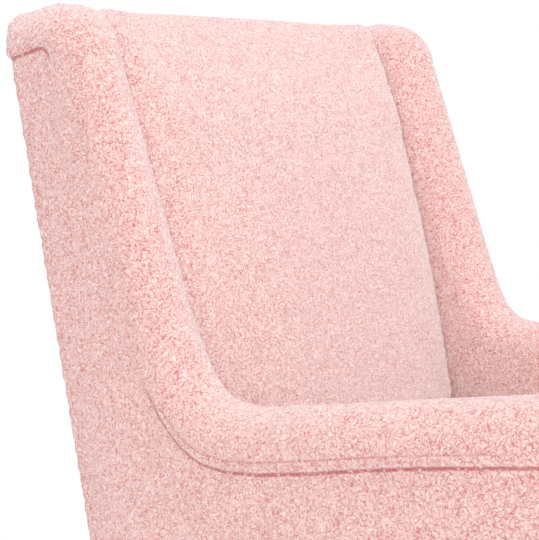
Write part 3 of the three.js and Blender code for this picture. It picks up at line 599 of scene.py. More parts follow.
# %% Mix the hard finishes
COAT = hard_finish(
    "black_powder_coat", specks=1100.0, tones=((34, 34, 36), (44, 44, 46)), rough_in="Fine",
    rough=(0.42, 0.56), skin_depth=0.12 * MM, worn=(1.2 * MM, (120, 120, 122)), Specular_IOR_Level=0.5,
)
ZINC = hard_finish(
    "zinc_plate", specks=700.0, tones=((186, 190, 194), (168, 168, 160)), rough_in="Blotch",
    rough=(0.3, 0.46), skin_depth=0.05 * MM, worn=(0.8 * MM, (214, 216, 220)), Metallic=1.0,
)
WIRE = hard_finish(
    "oiled_wire", specks=800.0, tones=((92, 94, 98), (120, 110, 98)), rough_in="Blotch",
    rough=(0.32, 0.5), skin_depth=0.05 * MM, Metallic=1.0,
)
RUBBER = hard_finish(
    "bumper_rubber", specks=600.0, tones=((28, 28, 28), (58, 56, 54)), rough_in="Blotch",
    rough=(0.7, 0.9), skin_depth=0.1 * MM,
)
NYLON = hard_finish(
    "moulded_nylon", specks=900.0, tones=((228, 224, 214), (214, 208, 196)), rough_in="Fine",
    rough=(0.38, 0.5), skin_depth=0.06 * MM, worn=(1.0 * MM, (196, 188, 174)),
)
print("hard finishes:", [made.name for made in (COAT, ZINC, WIRE, RUBBER, NYLON)])

# %% [markdown]
# ## Working on cloth meshes
# A soft piece starts as a copy of its solid. The copy is welded, because the frame's meshes come with
# every face apart, and remeshed into small even squares, because a fold or a curl needs points
# wherever it falls. Box modelling could give a lighter mesh, but its squares would have to follow
# each seam by hand. The steps below work on plain arrays of points, which is quick.


# %% Arrays of points
def points_of(mesh):
    points = np.empty(len(mesh.vertices) * 3)
    mesh.vertices.foreach_get("co", points)
    return points.reshape(-1, 3)


def normals_of(mesh):
    normals = np.empty(len(mesh.vertices) * 3, dtype=np.float32)
    mesh.vertex_normals.foreach_get("vector", normals)
    return normals.reshape(-1, 3).astype(float)


def put_points(mesh, points):
    mesh.vertices.foreach_set("co", np.ascontiguousarray(points, dtype=np.float32).ravel())
    mesh.update()


def edges_of(mesh):
    edges = np.empty(len(mesh.edges) * 2, dtype=np.int32)
    mesh.edges.foreach_get("vertices", edges)
    return edges.reshape(-1, 2)


def keep_mask(mesh, name, values):
    """Stores one number for each point, for the finish to read."""
    layer = mesh.attributes.new(name, "FLOAT", "POINT")
    layer.data.foreach_set("value", np.asarray(values, dtype=np.float32))


def ramp(values, low, high):
    """0 below low, 1 above high, and smooth between."""
    share = np.clip((values - low) / (high - low), 0, 1)
    return share * share * (3 - 2 * share)


# %% Copy, weld, remesh and relax
SAME_POINT = 0.01 * MM  # points nearer than this are one point
RELAX_SHARE = 0.5  # how far towards its neighbours' middle a point goes in one round


def settle(piece):
    """Applies the piece's modifiers."""
    made = piece.evaluated_get(bpy.context.evaluated_depsgraph_get())
    mesh = bpy.data.meshes.new_from_object(made)
    piece.modifiers.clear()
    piece.data = mesh


def welded(node_name):
    """The faces of a solid, joined where their points meet."""
    shape = bmesh.new()
    shape.from_mesh(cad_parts[node_name].data)
    bmesh.ops.remove_doubles(shape, verts=shape.verts, dist=SAME_POINT)
    return shape


def copy_of(node_name, name):
    return new_object(name, mesh_from(welded(node_name), name))


def remesh(piece, voxel):
    change = piece.modifiers.new("even squares", "REMESH")
    change.mode = "VOXEL"
    change.voxel_size = voxel
    settle(piece)


def relax(mesh, rounds):
    """Moves each point towards the middle of its neighbours, which rounds corners."""
    points, edges = points_of(mesh), edges_of(mesh)
    first, second = edges.T
    size = len(points)
    neighbours = np.bincount(edges.ravel(), minlength=size)
    for _ in range(rounds):
        for axis in range(3):
            line = points[:, axis]
            total = np.bincount(first, line[second], size) + np.bincount(second, line[first], size)
            points[:, axis] = line + RELAX_SHARE * (total / neighbours - line)
    put_points(mesh, points)


# %% [markdown]
# ### The pile in relief
# Most curls are too small to model, so the finish bumps them. But a bump can't change an outline, and
# real boucle has a soft, knobbly edge against the light. So the larger knots of yarn are modelled:
# each point is pressed in between the knots, and left alone on top of them. The pile then never
# makes the skin that it is pressed into any larger.

# %% Press the pile
KNOT_SIZE = 9 * MM
PILE_DEPTH = 0.9 * MM
KNOTS_WANDER = 0.8  # of a knot, so that the knots form no rows
KNOT_FLANK, KNOT_ROUND = 1.7, 0.7  # how steep a knot's sides are, and how round its top
PILE_SEED = 7
noise.seed_set(PILE_SEED)  # left to itself, the noise is different each time Blender starts


def pile_creases(points):
    """For each point, 0 on top of a knot of yarn and 1 in the crease beside it."""
    creases = np.empty(len(points))
    for i, at in enumerate(points / KNOT_SIZE):
        at = Vector(at)
        wander = noise.noise_vector(at * 0.6) * KNOTS_WANDER
        near = noise.voronoi(at + wander)[0]
        creases[i] = 1 - min(1.0, KNOT_FLANK * (near[1] - near[0])) ** KNOT_ROUND
    return creases


def press_pile(piece):
    mesh = piece.data
    points, normals = points_of(mesh), normals_of(mesh)
    creases = pile_creases(points)
    put_points(mesh, points - normals * (PILE_DEPTH * creases)[:, None])
    keep_mask(mesh, "crease", creases)


# %% [markdown]
# ### Seams
# A seam is where two cloths are sewn and turned under, so both dip towards it. The panels of the
# frame already say where each seam runs: along a panel's edge. So the seam is read from the panel's
# solid as a row of short lines, and each point of the cloth asks how far off it is.


# %% Read a seam from a panel's edge
def rim_of(node_name, axis, side):
    """The edge of a panel's outer face, as lines between (a, b) in the other two axes."""
    shape = welded(node_name)
    outer = {face for face in shape.faces if face.normal[axis] * side > 0.9}
    rim = [edge for edge in shape.edges if len([face for face in edge.link_faces if face in outer]) == 1]
    others = [i for i in range(3) if i != axis]
    lines = np.array([[[vert.co[i] for i in others] for vert in edge.verts] for edge in rim])
    shape.free()
    return lines


def distance_to(lines, spots):
    """The shortest way from each spot to a row of lines."""
    best = np.full(len(spots), np.inf)
    for start, end in lines:
        along = end - start
        share = np.clip(((spots - start) @ along) / max(along @ along, 1e-12), 0, 1)
        best = np.minimum(best, np.linalg.norm(spots - start - share[:, None] * along, axis=1))
    return best


def dent(distance, depth, width):
    """A groove: depth on the line, gone at a few widths."""
    return depth * np.exp(-((distance / width) ** 2))


def keep_seam(piece, off, shown):
    """Leaves the distance to the seam, and how much of it shows, on the cloth for its finish to read."""
    keep_mask(piece.data, "seam", off)
    keep_mask(piece.data, "sewn", shown)


# %% [markdown]
# ### Cloth and body
# A finished pad gets its cloth, moves with one body of the chair, and hides the solids that it stands
# for. All pads get the same treatment, so one short function says it once.


# %% Dress a pad
def dress(piece, body, nodes):
    """Gives a finished pad its cloth and its body of the chair, and hides the solids that it stands for."""
    piece.data.materials.clear()
    piece.data.materials.append(ROSE)
    piece.data.shade_smooth()
    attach(piece, body)
    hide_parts(*nodes)
    print(piece.name, len(piece.data.polygons), "faces")


# %% [markdown]
# ## Arm and wing covers
# Each side of the chair has one sewn cover of foam and boucle: a roll that goes over the edge of the
# arm and wing, a cap at the top of the wing, and the flat outer panel. It could be made as three
# pieces that meet, but then every seam needs its edges fitted, and daylight shows where they miss. A
# real cover is sewn into one skin, so here the solids are joined first and remeshed together, and the
# seams are pressed into the skin afterwards. Between seams the foam pushes the cloth out. Along the
# arm a stitched line follows the seam, with a raised strip between the two. Up the wing the deep pile
# closes over the seam.

# %% Where the cover is sewn
SIDES = {"left": 1, "right": -1}


def inside(lines, spots):
    """Whether each spot lies inside a closed rim, by counting the lines that it looks through."""
    odd = np.zeros(len(spots), dtype=bool)
    for (ay, az), (by, bz) in lines:
        if az == bz:
            continue
        spans = (spots[:, 1] > az) != (spots[:, 1] > bz)
        crossing = ay + (spots[:, 1] - az) * (by - ay) / (bz - az)
        odd ^= spans & (spots[:, 0] < crossing)
    return odd


def outward_of(lines):
    """For each line of a rim, the direction out of the panel."""
    along = lines[:, 1] - lines[:, 0]
    across = np.stack([along[:, 1], -along[:, 0]], axis=1)
    across /= np.maximum(np.linalg.norm(across, axis=1), 1e-9)[:, None]
    probes = lines.mean(axis=1) + across * MM
    return np.where(inside(lines, probes)[:, None], -across, across)


def sewn_part(lines):
    """The rim where the panel is sewn to the roll and the cap: all of it but the rear edge and the hem."""
    out = outward_of(lines)
    rear = (out[:, 0] > 0.9) & (out[:, 1] < 0)
    hem = out[:, 1] < -0.9
    return lines[~(rear | hem)]


# %% [markdown]
# ### Hems
# At the bottom the cloth is folded under the side frame and stapled. The fold could be a strip of its
# own, but then a gap shows along the bend. So a thin slab under the wood joins the solids before the
# remesh, and the skin runs round the bottom edge and onto it in one piece. The slab hangs a hair below
# the wood, so that the two never share a face.

# %% Join the solids of a cover and its hem
HEM_THICK, HEM_CLEAR = 6.4 * MM, 0.3 * MM
HEM_OUT, HEM_SHORT = 5 * MM, 4 * MM  # how far a side's hem stands out, and how much shorter it is at an end


def foot_of(node_name):
    """The corners of a thin slab just under the lowest faces of a solid, where cloth is turned under."""
    points = points_of(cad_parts[node_name].data)
    foot = points[points[:, 2] < points[:, 2].min() + MM]
    low, high = foot.min(axis=0), foot.max(axis=0)
    low[2], high[2] = low[2] - HEM_CLEAR - HEM_THICK, low[2] - HEM_CLEAR
    return low, high


def side_hem(side_name, side):
    low, high = foot_of(f"side_frame_{side_name}")
    return low + (side * HEM_OUT, HEM_SHORT, 0), high + (side * HEM_OUT, -HEM_SHORT, 0)


def join_solids(name, *node_names, hem=None):
    """Copies of some solids in one mesh, and a hem: a flat strip between two corners, turned under."""
    parts = [copy_of(node_name, name) for node_name in node_names]
    shape = bmesh.new()
    for part in parts:
        shape.from_mesh(part.data)
    if hem:
        low, high = (Vector(corner.tolist()) for corner in hem)
        strip = bmesh.ops.create_cube(shape, size=1)["verts"]
        for vert in strip:
            vert.co = (low + high) / 2 + Vector(a * b for a, b in zip(vert.co, high - low))
    whole = parts[0]
    shape.to_mesh(whole.data)
    shape.free()
    for part in parts[1:]:
        bpy.data.objects.remove(part)
    return whole


# %% [markdown]
# ### A map of the cover
# Every later step acts on some part of the skin only: beside the seam, on the outer face, along the
# arm, on the cap. These parts could be painted by hand as vertex groups. But each is a simple question
# about a point, such as how far it is from the seam or how high it lies. So all of them are answered
# at once, as numbers from 0 to 1 with soft edges, and kept in one place.

# %% Map the cover
ROLL_OUTSIDE = (8 * MM, 22 * MM)  # how far beyond the inner back's side the roll's outer half starts
OUTER_FACE = (60 * MM, 74 * MM)  # and where the outer face does
SEAM_FADES = (0.56, 0.605)  # heights between which the arm's seam dies away
CAP_SEAM_NEAR, CAP_SEAM_BLENDS = 6 * MM, 3 * MM  # what counts as the cap's seam, and as close to it
CAP_STARTS = (-3 * MM, 14 * MM)  # heights from the cap's seam


def map_cover(points, panel, side):
    """For each point of a cover, how far it is from the seams and how much it belongs to each part."""
    rim, spots = rim_of(panel, 0, side), points[:, 1:]
    sewn = sewn_part(rim)
    off = distance_to(sewn, spots)
    beyond = np.abs(points[:, 0])
    inner_x = abs(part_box("inner_back_pad")[0][0])
    cap_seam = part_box("outer_back_panel")[1][2]
    cap_part = sewn[sewn.mean(axis=1)[:, 1] > cap_seam - CAP_SEAM_NEAR]
    at_cap = 1 - ramp(distance_to(cap_part, spots) - off, 0, CAP_SEAM_BLENDS)
    arm = 1 - ramp(points[:, 2], *SEAM_FADES)
    on_panel = inside(rim, spots)
    return SimpleNamespace(
        on_panel=on_panel,
        off=off,
        beside=np.where(on_panel, -off, off),
        off_rim=distance_to(rim, spots),
        outside=ramp(beyond, inner_x + ROLL_OUTSIDE[0], inner_x + ROLL_OUTSIDE[1]),
        face=ramp(beyond, inner_x + OUTER_FACE[0], inner_x + OUTER_FACE[1]),
        arm=arm,
        shown=np.maximum(arm, at_cap),
        above=ramp(points[:, 2], cap_seam + CAP_STARTS[0], cap_seam + CAP_STARTS[1]),
    )


# %% [markdown]
# ### Foam and seams
# The foam is thickest away from a seam and is drawn in where the thread holds it. Each line below is
# one thing that an upholsterer does: fill the roll, lay the wing flat, fill the panel, pull the seam
# tight, sew the second row, raise the strip between the rows, soften the roll's inner corner, and put
# more wadding in the cap.

# %% Fill the foam and pull the seams
SKIN_VOXEL, SKIN_ROUNDS = 4.2 * MM, 4
ROLL_FULLNESS, ROLL_FILLS_OVER = 1.6 * MM, 18 * MM
PANEL_FULLNESS, PANEL_EDGE = 1.6 * MM, 45 * MM
WING_FLAT = 1.4 * MM  # up the wing the roll lies level with the panel
SEAM_DIP, SEAM_WIDTH = 1.8 * MM, 3.8 * MM
STITCH_DIP, STITCH_WIDTH = 1.1 * MM, 2.6 * MM
STRIP_RISE, STRIP_RISES_OVER, STRIP_ENDS_OVER = 1.0 * MM, 4 * MM, 3 * MM
ROLL_SOFTENS = 7.0 * MM  # how far the roll's inner front corner gives way
INNER_FRONT = (0.607, 0.794)  # the way that corner looks: inward and forward
SOFT_HEIGHTS = (0.52, 0.68)  # between these heights it starts to
CAP_CORNER = 8.0 * MM  # extra wadding in the rear top corner of the cap


def foam_lift(points, normals, lies, side):
    """How far the cloth stands out of the joined solids at each point."""
    roll = ~lies.on_panel
    lift = roll * lies.outside * lies.shown * ROLL_FULLNESS * ramp(lies.off, 0, ROLL_FILLS_OVER)
    lift -= roll * lies.face * (1 - lies.shown) * WING_FLAT
    lift += lies.on_panel * lies.face * lies.arm * PANEL_FULLNESS * ramp(lies.off_rim, 0, PANEL_EDGE)
    lift -= lies.face * lies.shown * dent(lies.off, SEAM_DIP, SEAM_WIDTH)
    second = np.abs(lies.beside - STITCH_OFF_SEAM)
    lift -= lies.face * lies.arm * dent(second, STITCH_DIP, STITCH_WIDTH)
    strip_end = ramp(lies.off, STITCH_OFF_SEAM - STRIP_ENDS_OVER, STITCH_OFF_SEAM)
    strip = ramp(lies.off, 0, STRIP_RISES_OVER) * (1 - strip_end)
    lift += lies.face * lies.arm * roll * STRIP_RISE * strip
    inward, forward = INNER_FRONT
    inner_front = ramp(-side * inward * normals[:, 0] - forward * normals[:, 1], 0.6, 1.0)
    lift -= ROLL_SOFTENS * inner_front * ramp(points[:, 2], *SOFT_HEIGHTS)
    lift += CAP_CORNER * lies.above * ramp(0.7 * (normals[:, 1] + normals[:, 2]), 0.7, 1.0)
    return lift


# %% [markdown]
# ### How a cover settles
# After the cover is on, it is pulled round the rear corner and stapled there, and with use the wadding
# settles. The wing leans back a little, and the cloth sinks in where the arm meets the wing. Up the
# wing, the deep pile closes over the seam, so the skin is smoothed there and only there.

# %% Settle a cover
CAP_FULLNESS = 3.0 * MM
CORNER_WRAP, CORNER_NEAR = 6.5 * MM, 14 * MM  # how far the cover turns round the rear corner
WING_LEANS, WING_FILLS, WING_HEIGHTS = 6.2 * MM, 1.8 * MM, (0.60, 0.68)
REAR_LEANS, REAR_STRIP = 5.5 * MM, (190 * MM, 60 * MM)  # the strip is measured forward from the rear
SINKS = (  # where, as shares of the panel's box, how far around, and the way back and down
    ((0.64, 0.49), 50 * MM, (5.4 * MM, -7.2 * MM)),  # the arm's seam as it turns up the wing
    ((0.50, 0.41), 110 * MM, (0.0, -8.5 * MM)),  # the arm's seam along the hollow of the seat
    ((0.66, 0.56), 45 * MM, (6.0 * MM, -9.0 * MM)),  # the crook between the arm and the wing
)
PILE_CLOSES, CLOSING_ROUNDS = 14 * MM, 10


def wrap_corner(points, normals, lies):
    """The cap stands back, and below it the cover turns round the rear corner."""
    wrap = CORNER_WRAP * lies.face * (1 - lies.above) * (lies.off_rim < CORNER_NEAR)
    points[:, 1] += ramp(normals[:, 1], 0.3, 0.9) * (CAP_FULLNESS * lies.above + wrap)
    return points


def settled_in(points, normals, panel):
    """The wing leans back, and the cloth sinks in at the elbow."""
    low, high = (np.array(corner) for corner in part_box(panel))
    wing = ramp(points[:, 2], *WING_HEIGHTS)
    rear = ramp(points[:, 1], high[1] - REAR_STRIP[0], high[1] - REAR_STRIP[1])
    moved = points.copy()
    moved[:, 1] += np.maximum((WING_LEANS + WING_FILLS * normals[:, 1]) * wing, REAR_LEANS * rear)
    for share, reach, way in SINKS:
        middle = low[1:] + np.array(share) * (high - low)[1:]
        away = np.linalg.norm(points[:, 1:] - middle, axis=1)
        moved[:, 1:] += dent(away, 1.0, reach)[:, None] * np.array(way)
    return moved


def close_pile(mesh, points, lies):
    """Smooths the skin over the part of the seam that doesn't show."""
    put_points(mesh, points)
    relax(mesh, CLOSING_ROUNDS)
    closed = lies.face * (1 - lies.shown) * dent(lies.off, 1.0, PILE_CLOSES)
    put_points(mesh, points + closed[:, None] * (points_of(mesh) - points))


# %% Make the two covers
STITCHES_SHOW = 0.45


def side_cover(side_name, side):
    pad, panel = f"side_pad_{side_name}", f"outer_side_panel_{side_name}"
    piece = join_solids(f"side_cover_{side_name}", pad, panel, hem=side_hem(side_name, side))
    remesh(piece, SKIN_VOXEL)
    relax(piece.data, SKIN_ROUNDS)
    points, normals = points_of(piece.data), normals_of(piece.data)
    lies = map_cover(points, panel, side)
    points += normals * foam_lift(points, normals, lies, side)[:, None]
    points = wrap_corner(points, normals, lies)
    close_pile(piece.data, settled_in(points, normals, panel), lies)
    press_pile(piece)
    keep_seam(piece, lies.beside, lies.face * lies.shown)
    keep_mask(piece.data, "stitched", STITCHES_SHOW * lies.face * lies.arm)
    dress(piece, "chair_body", (pad, panel))


for side_name, side in SIDES.items():
    side_cover(side_name, side)

# %% [markdown]
# ## Rear panel and apron
# The outside of the back and the apron under the seat are each one cloth over a thin wadding, pulled
# tight over a cardboard edge. A panel that is truly flat looks like board, so the middle swells by a
# millimetre or two. Its edges run on a little under the covers beside it, as they do on the chair. The
# rear panel also moves back as far as the side covers lean back at the rear, and is narrowed to lie
# between them. The apron is turned under the front rail, so it gets a hem.

# %% Make the rear panel and the apron
PANEL_ROUNDS = 2
TUCK, SIDE_TUCK = 3.5 * MM, 5.5 * MM  # how far a panel's edges run on under their neighbours
TUCK_OVER = 27 * MM
PANEL_DIP, PANEL_DIP_WIDTH = 0.8 * MM, 5 * MM
PANEL_SEAM_SHOWS = 0.7
APRON_HEM = (45 * MM, 5 * MM, 3 * MM)  # in from the sides, and forward at its front and its rear edge
BACK_LET_IN = 7 * MM  # how much narrower the rear panel is, to lie inside the side covers


def flat_panel(node_name, name, axis, side, narrow=0.0, full=0.0, hem=None):
    piece = join_solids(name, node_name, hem=hem)
    remesh(piece, SKIN_VOXEL)
    relax(piece.data, PANEL_ROUNDS)
    points, normals = points_of(piece.data), normals_of(piece.data)
    others = [i for i in range(3) if i != axis]
    off = distance_to(rim_of(node_name, axis, side), points[:, others])
    front = ramp(normals[:, axis] * side, 0.2, 0.8)
    swell_by = full + PANEL_FULLNESS * ramp(off, 0, PANEL_EDGE)
    lift = front * (swell_by - dent(off, PANEL_DIP, PANEL_DIP_WIDTH))
    outwards = normals.copy()
    outwards[:, axis] = 0
    board = points[:, axis] * side > min(corner[axis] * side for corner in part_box(node_name)) - MM
    edge = board * (1 - ramp(off, 0, TUCK_OVER))
    downward = ramp(-normals[:, 2], 0.5, 0.9)
    points += normals * lift[:, None]
    points += outwards * (edge * TUCK * (1 - downward))[:, None]
    points[:, 0] += edge * SIDE_TUCK * ramp(np.abs(normals[:, 0]), 0.3, 0.9) * np.sign(normals[:, 0])
    if narrow:
        limit = np.abs(points[:, 0]).max() - narrow
        points[:, 0] = np.clip(points[:, 0], -limit, limit)
    put_points(piece.data, points)
    press_pile(piece)
    keep_seam(piece, off, PANEL_SEAM_SHOWS * front)
    dress(piece, "chair_body", [node_name])


def apron_hem():
    low, high = foot_of("front_rail")
    sides, front, rear = APRON_HEM
    return low + (sides, -front, 0), high + (-sides, -rear, 0)


flat_panel("outer_back_panel", "rear_panel", 1, 1, narrow=BACK_LET_IN, full=REAR_LEANS)
flat_panel("front_apron", "apron", 1, -1, hem=apron_hem())

# %% [markdown]
# ## Swelling foam
# Foam is cut a little too large and the cloth holds it in, so it presses outward everywhere, most in
# the middle of a panel. Cloth under a light air pressure does the same. The piece starts slightly
# small, swells for a few steps without gravity, and no point may move further than a cap. Points
# against something hard are pinned, and afterwards the piece is held behind the faces it rests on.


# %% Hold a pad behind the faces that it rests on
def flat_of(node_name, facing):
    """A point and the normal of the largest face of a solid that looks a given way."""
    facing = Vector(facing).normalized()
    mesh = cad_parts[node_name].data
    faces = [face for face in mesh.polygons if face.normal.dot(facing) > 0.9]
    best = max(faces, key=lambda face: face.area)
    return np.array(best.center), np.array(best.normal)


def hold_behind(points, flats):
    """Moves points that stand beyond a flat face back onto it."""
    for at, normal in flats:
        beyond = (points - at) @ normal
        points -= np.maximum(beyond, 0)[:, None] * normal
    return points


# %% Swell a pad
AIR_PRESSURE, SWELL_FRAMES = 4.0, 20


def blown_up(piece, pinned):
    """How far light air pressure moves each point that isn't pinned."""
    start = points_of(piece.data)
    held = piece.vertex_groups.new(name="held")
    held.add(np.flatnonzero(pinned).tolist(), 1.0, "REPLACE")
    cloth = piece.modifiers.new("swell", "CLOTH")
    cloth.settings.vertex_group_mass = held.name
    cloth.settings.use_pressure = True
    cloth.settings.uniform_pressure_force = AIR_PRESSURE
    cloth.settings.effector_weights.gravity = 0
    cloth.point_cache.frame_start, cloth.point_cache.frame_end = 1, SWELL_FRAMES
    for at_frame in range(1, SWELL_FRAMES + 1):
        scene.frame_set(at_frame)
    settle(piece)
    piece.vertex_groups.clear()
    scene.frame_set(1)
    return points_of(piece.data) - start


def swell(piece, cap, pinned):
    start = points_of(piece.data)
    move = blown_up(piece, pinned)
    length = np.maximum(np.linalg.norm(move, axis=1), 1e-9)
    move *= (cap * np.tanh(length / cap) / length)[:, None]
    put_points(piece.data, start + move)
    furthest = float(np.linalg.norm(move, axis=1).max()) / MM
    print(piece.name, "swelled by up to", round(furthest, 1), "mm")


def refine(piece):
    """Splits every square in four, on a smooth surface."""
    change = piece.modifiers.new("finer", "SUBSURF")
    change.levels = change.render_levels = 1
    settle(piece)


# %% [markdown]
# ## Inner back
# The inner back is one deep pad between the wings. Its cloth is pulled down behind the seat and round
# the sides, and the rear lies on the rails, so only the front swells. Air alone makes the middle full
# and the edges thin. An upholsterer adds wadding where a head and shoulders rest and along both edges,
# so the front is filled there too, and the crest stands a little higher in its middle. Sculpting by
# hand could do that, but four measures can be told apart and changed one by one.

# %% Fill the head, the edges and the crest
HEAD_FULLNESS, HEAD_DOWN, HEAD_REACH = 11 * MM, 95 * MM, 75 * MM
EDGE_FULLNESS, EDGE_FROM = 7.5 * MM, 0.6  # from this share of the half width outward
EDGE_ABOVE_SEAT = 25 * MM
SHOULDER_FULLNESS = 10 * MM
CREST_CROWN, CROWN_FROM = 3 * MM, 70 * MM  # how much higher the crest stands in its middle


def fill_inner_back(points, normals, half_width):
    top, seat_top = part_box("inner_back_pad")[1][2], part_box("seat_cushion")[1][2]
    below = top - HEAD_DOWN - points[:, 2]
    points[:, 1] -= ramp(-normals[:, 1], 0.0, 0.8) * dent(below, HEAD_FULLNESS, HEAD_REACH)
    above = ramp(points[:, 2], seat_top - EDGE_ABOVE_SEAT, seat_top)
    outward = ramp(np.abs(points[:, 0] / half_width), EDGE_FROM, 1.0) * ramp(-normals[:, 1], 0.0, 0.5)
    points += normals * (EDGE_FULLNESS * above * outward)[:, None]
    points[:, 1] -= SHOULDER_FULLNESS * outward * ramp(below, 0.0, -HEAD_REACH)
    middle = 1 - (points[:, 0] / half_width) ** 2
    points[:, 2] += CREST_CROWN * middle * ramp(top - points[:, 2], CROWN_FROM, 0.0)
    return points


# %% Make the inner back
BACK_VOXEL, BACK_ROUNDS = 6.8 * MM, 2
BACK_START_SMALL, BACK_CAP = 4 * MM, 6 * MM


def inner_back():
    piece = copy_of("inner_back_pad", "inner_back")
    remesh(piece, BACK_VOXEL)
    relax(piece.data, BACK_ROUNDS)
    points, normals = points_of(piece.data), normals_of(piece.data)
    front = ramp(-normals[:, 1], -0.1, 0.6)
    put_points(piece.data, points - normals * (BACK_START_SMALL * front)[:, None])
    swell(piece, BACK_CAP, front < 0.2)
    sides = [flat_of("inner_back_pad", (way, 0, 0)) for way in (-1, 1)]
    points = fill_inner_back(points_of(piece.data), normals_of(piece.data), sides[1][0][0])
    put_points(piece.data, hold_behind(points, sides))
    refine(piece)
    press_pile(piece)
    dress(piece, "chair_body", ["inner_back_pad"])


inner_back()

# %% [markdown]
# ## Seat cushion
# The loose cushion is boxed: a top and a bottom cloth with a band sewn between them. It is crowned on
# top, fills the space between the arms and rests flat on the deck. The two seams run round it where
# the band turns into the top and the bottom. A dent along a line on the mesh would need that line
# drawn by hand. But the seam is simply the place where the cloth has turned halfway, so the
# direction of the surface finds it.

# %% Make the seat cushion
CUSHION_VOXEL, CUSHION_ROUNDS = 6.4 * MM, 3
CUSHION_START_SMALL, CUSHION_CAP = 6 * MM, 10 * MM
BAND_TURN = math.radians(52)  # how far the cloth has turned at the seam
CORNER_RADIUS = 15 * MM
BAND_DIP, BAND_WIDTH = 2.4 * MM, 4.5 * MM
# The cushion's seam line is painted like the others: partly thread, partly painted shade of its groove.
BAND_SEAM_SHOWS = 0.35  # the seam is drawn down into the pile, so little of its thread shows


def seat_cushion():
    piece = copy_of("seat_cushion", "loose_cushion")
    remesh(piece, CUSHION_VOXEL)
    relax(piece.data, CUSHION_ROUNDS)
    points, normals = points_of(piece.data), normals_of(piece.data)
    put_points(piece.data, points - normals * CUSHION_START_SMALL)
    swell(piece, CUSHION_CAP, normals[:, 2] < -0.9)
    ways = ((0, 0, -1), (0, 1, 0), (-1, 0, 0), (1, 0, 0))  # the deck, the back and both sides
    rests = [flat_of("seat_cushion", way) for way in ways]
    put_points(piece.data, hold_behind(points_of(piece.data), rests))
    refine(piece)
    points, normals = points_of(piece.data), normals_of(piece.data)
    turned = np.arccos(np.clip(np.abs(normals @ rests[0][1]), 0, 1))
    off = CORNER_RADIUS * (turned - BAND_TURN)
    put_points(piece.data, points - normals * dent(off, BAND_DIP, BAND_WIDTH)[:, None])
    press_pile(piece)
    keep_seam(piece, off, np.full(len(off), BAND_SEAM_SHOWS))
    dress(piece, "cushion", ["seat_cushion"])


seat_cushion()

# %% [markdown]
# ## Seat deck
# Under the cushion lies a firm deck: a thin pad in plain lining cloth, with a strip of boucle along
# the front, where it might be seen. Two pads could meet at that line, but one pad with two cloths
# can't come apart there. Its upper face starts a little low and rises to its full height away from
# the edge.

# %% Make the deck
DECK_STRIP = 75 * MM
DECK_FULLNESS, DECK_EDGE = 1.5 * MM, 30 * MM
JOINT_DIP, JOINT_WIDTH = 1.2 * MM, 4 * MM


def deck():
    piece = copy_of("seat_deck", "seat_platform")
    remesh(piece, SKIN_VOXEL)
    relax(piece.data, PANEL_ROUNDS)
    points, normals = points_of(piece.data), normals_of(piece.data)
    low, high = (np.array(corner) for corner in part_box("seat_deck"))
    edge = np.minimum(points - low, high - points)[:, :2].min(axis=1)
    upper = ramp(normals[:, 2], 0.3, 0.9)
    joint = points[:, 1] - low[1] - DECK_STRIP
    rise = DECK_FULLNESS * ramp(edge, 0, DECK_EDGE) - DECK_FULLNESS
    lift = upper * (rise - dent(joint, JOINT_DIP, JOINT_WIDTH))
    put_points(piece.data, points + normals * lift[:, None])
    keep_seam(piece, joint, upper)
    dress(piece, "chair_body", ["seat_deck"])
    piece.data.materials.append(LINING)
    rows = [int(face.center.y > low[1] + DECK_STRIP) for face in piece.data.polygons]
    piece.data.polygons.foreach_set("material_index", rows)


deck()

# %% [markdown]
# ## Dust cover
# The underside is closed by a thin sheet of felt, cut to size, stretched over the mount rails and
# stapled. It is a real sheet with two faces, so it is drawn flat as a grid and given its thickness by
# a modifier. Stretched felt hangs by a millimetre at most and ripples a little between its staples, so
# a simulation would be slower and show no more.

# %% Make the dust cover
FELT_THICKNESS = 0.8 * MM
FELT_SAG = 0.9 * MM
FELT_SQUARE = 12 * MM
RIPPLE, RIPPLES = 0.4 * MM, (14, 12)  # how high they are, and how many across and along


def dust_cover():
    low, high = (Vector(corner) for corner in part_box("dust_cover"))
    width, length = high.x - low.x, high.y - low.y
    shape = bmesh.new()
    across, along = (round(size / FELT_SQUARE) for size in (width, length))
    bmesh.ops.create_grid(shape, x_segments=across, y_segments=along, size=0.5)
    for vert in shape.verts:
        u, v = vert.co.x, vert.co.y
        hang = math.cos(math.pi * u) * math.cos(math.pi * v)
        ripple = RIPPLE * noise.noise(Vector((u * RIPPLES[0], v * RIPPLES[1], 0.5)))
        vert.co = (u * width, low.y + (v + 0.5) * length, low.z - FELT_SAG * hang + ripple * hang)
    piece = new_object("dust_felt", mesh_from(shape, "dust_felt"))
    thick = piece.modifiers.new("thickness", "SOLIDIFY")
    thick.thickness, thick.offset = FELT_THICKNESS, -1
    settle(piece)
    piece.data.materials.append(FELT)
    piece.data.shade_smooth()
    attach(piece, "chair_body")
    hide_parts("dust_cover")
    print(piece.name, [round(size, 3) for size in (width, length)], "m flat")


dust_cover()

# %% [markdown]
# ## Pins, bolts, welds, staples, pads and bumpers
# The round fittings are small, but the light catches them. Each was turned, headed or moulded, so
# each is made the way a lathe makes it: a row of stations, each a way along the axis and a radius,
# swept round. Six sides instead of many make a hexagon head. A subdivided cylinder would also be
# round, but it can't have a dome, a flange and a shank in one solid.

# %% Turn a solid
ROUND, HEXAGON = 40, 6
SHARP_FROM = math.radians(38)


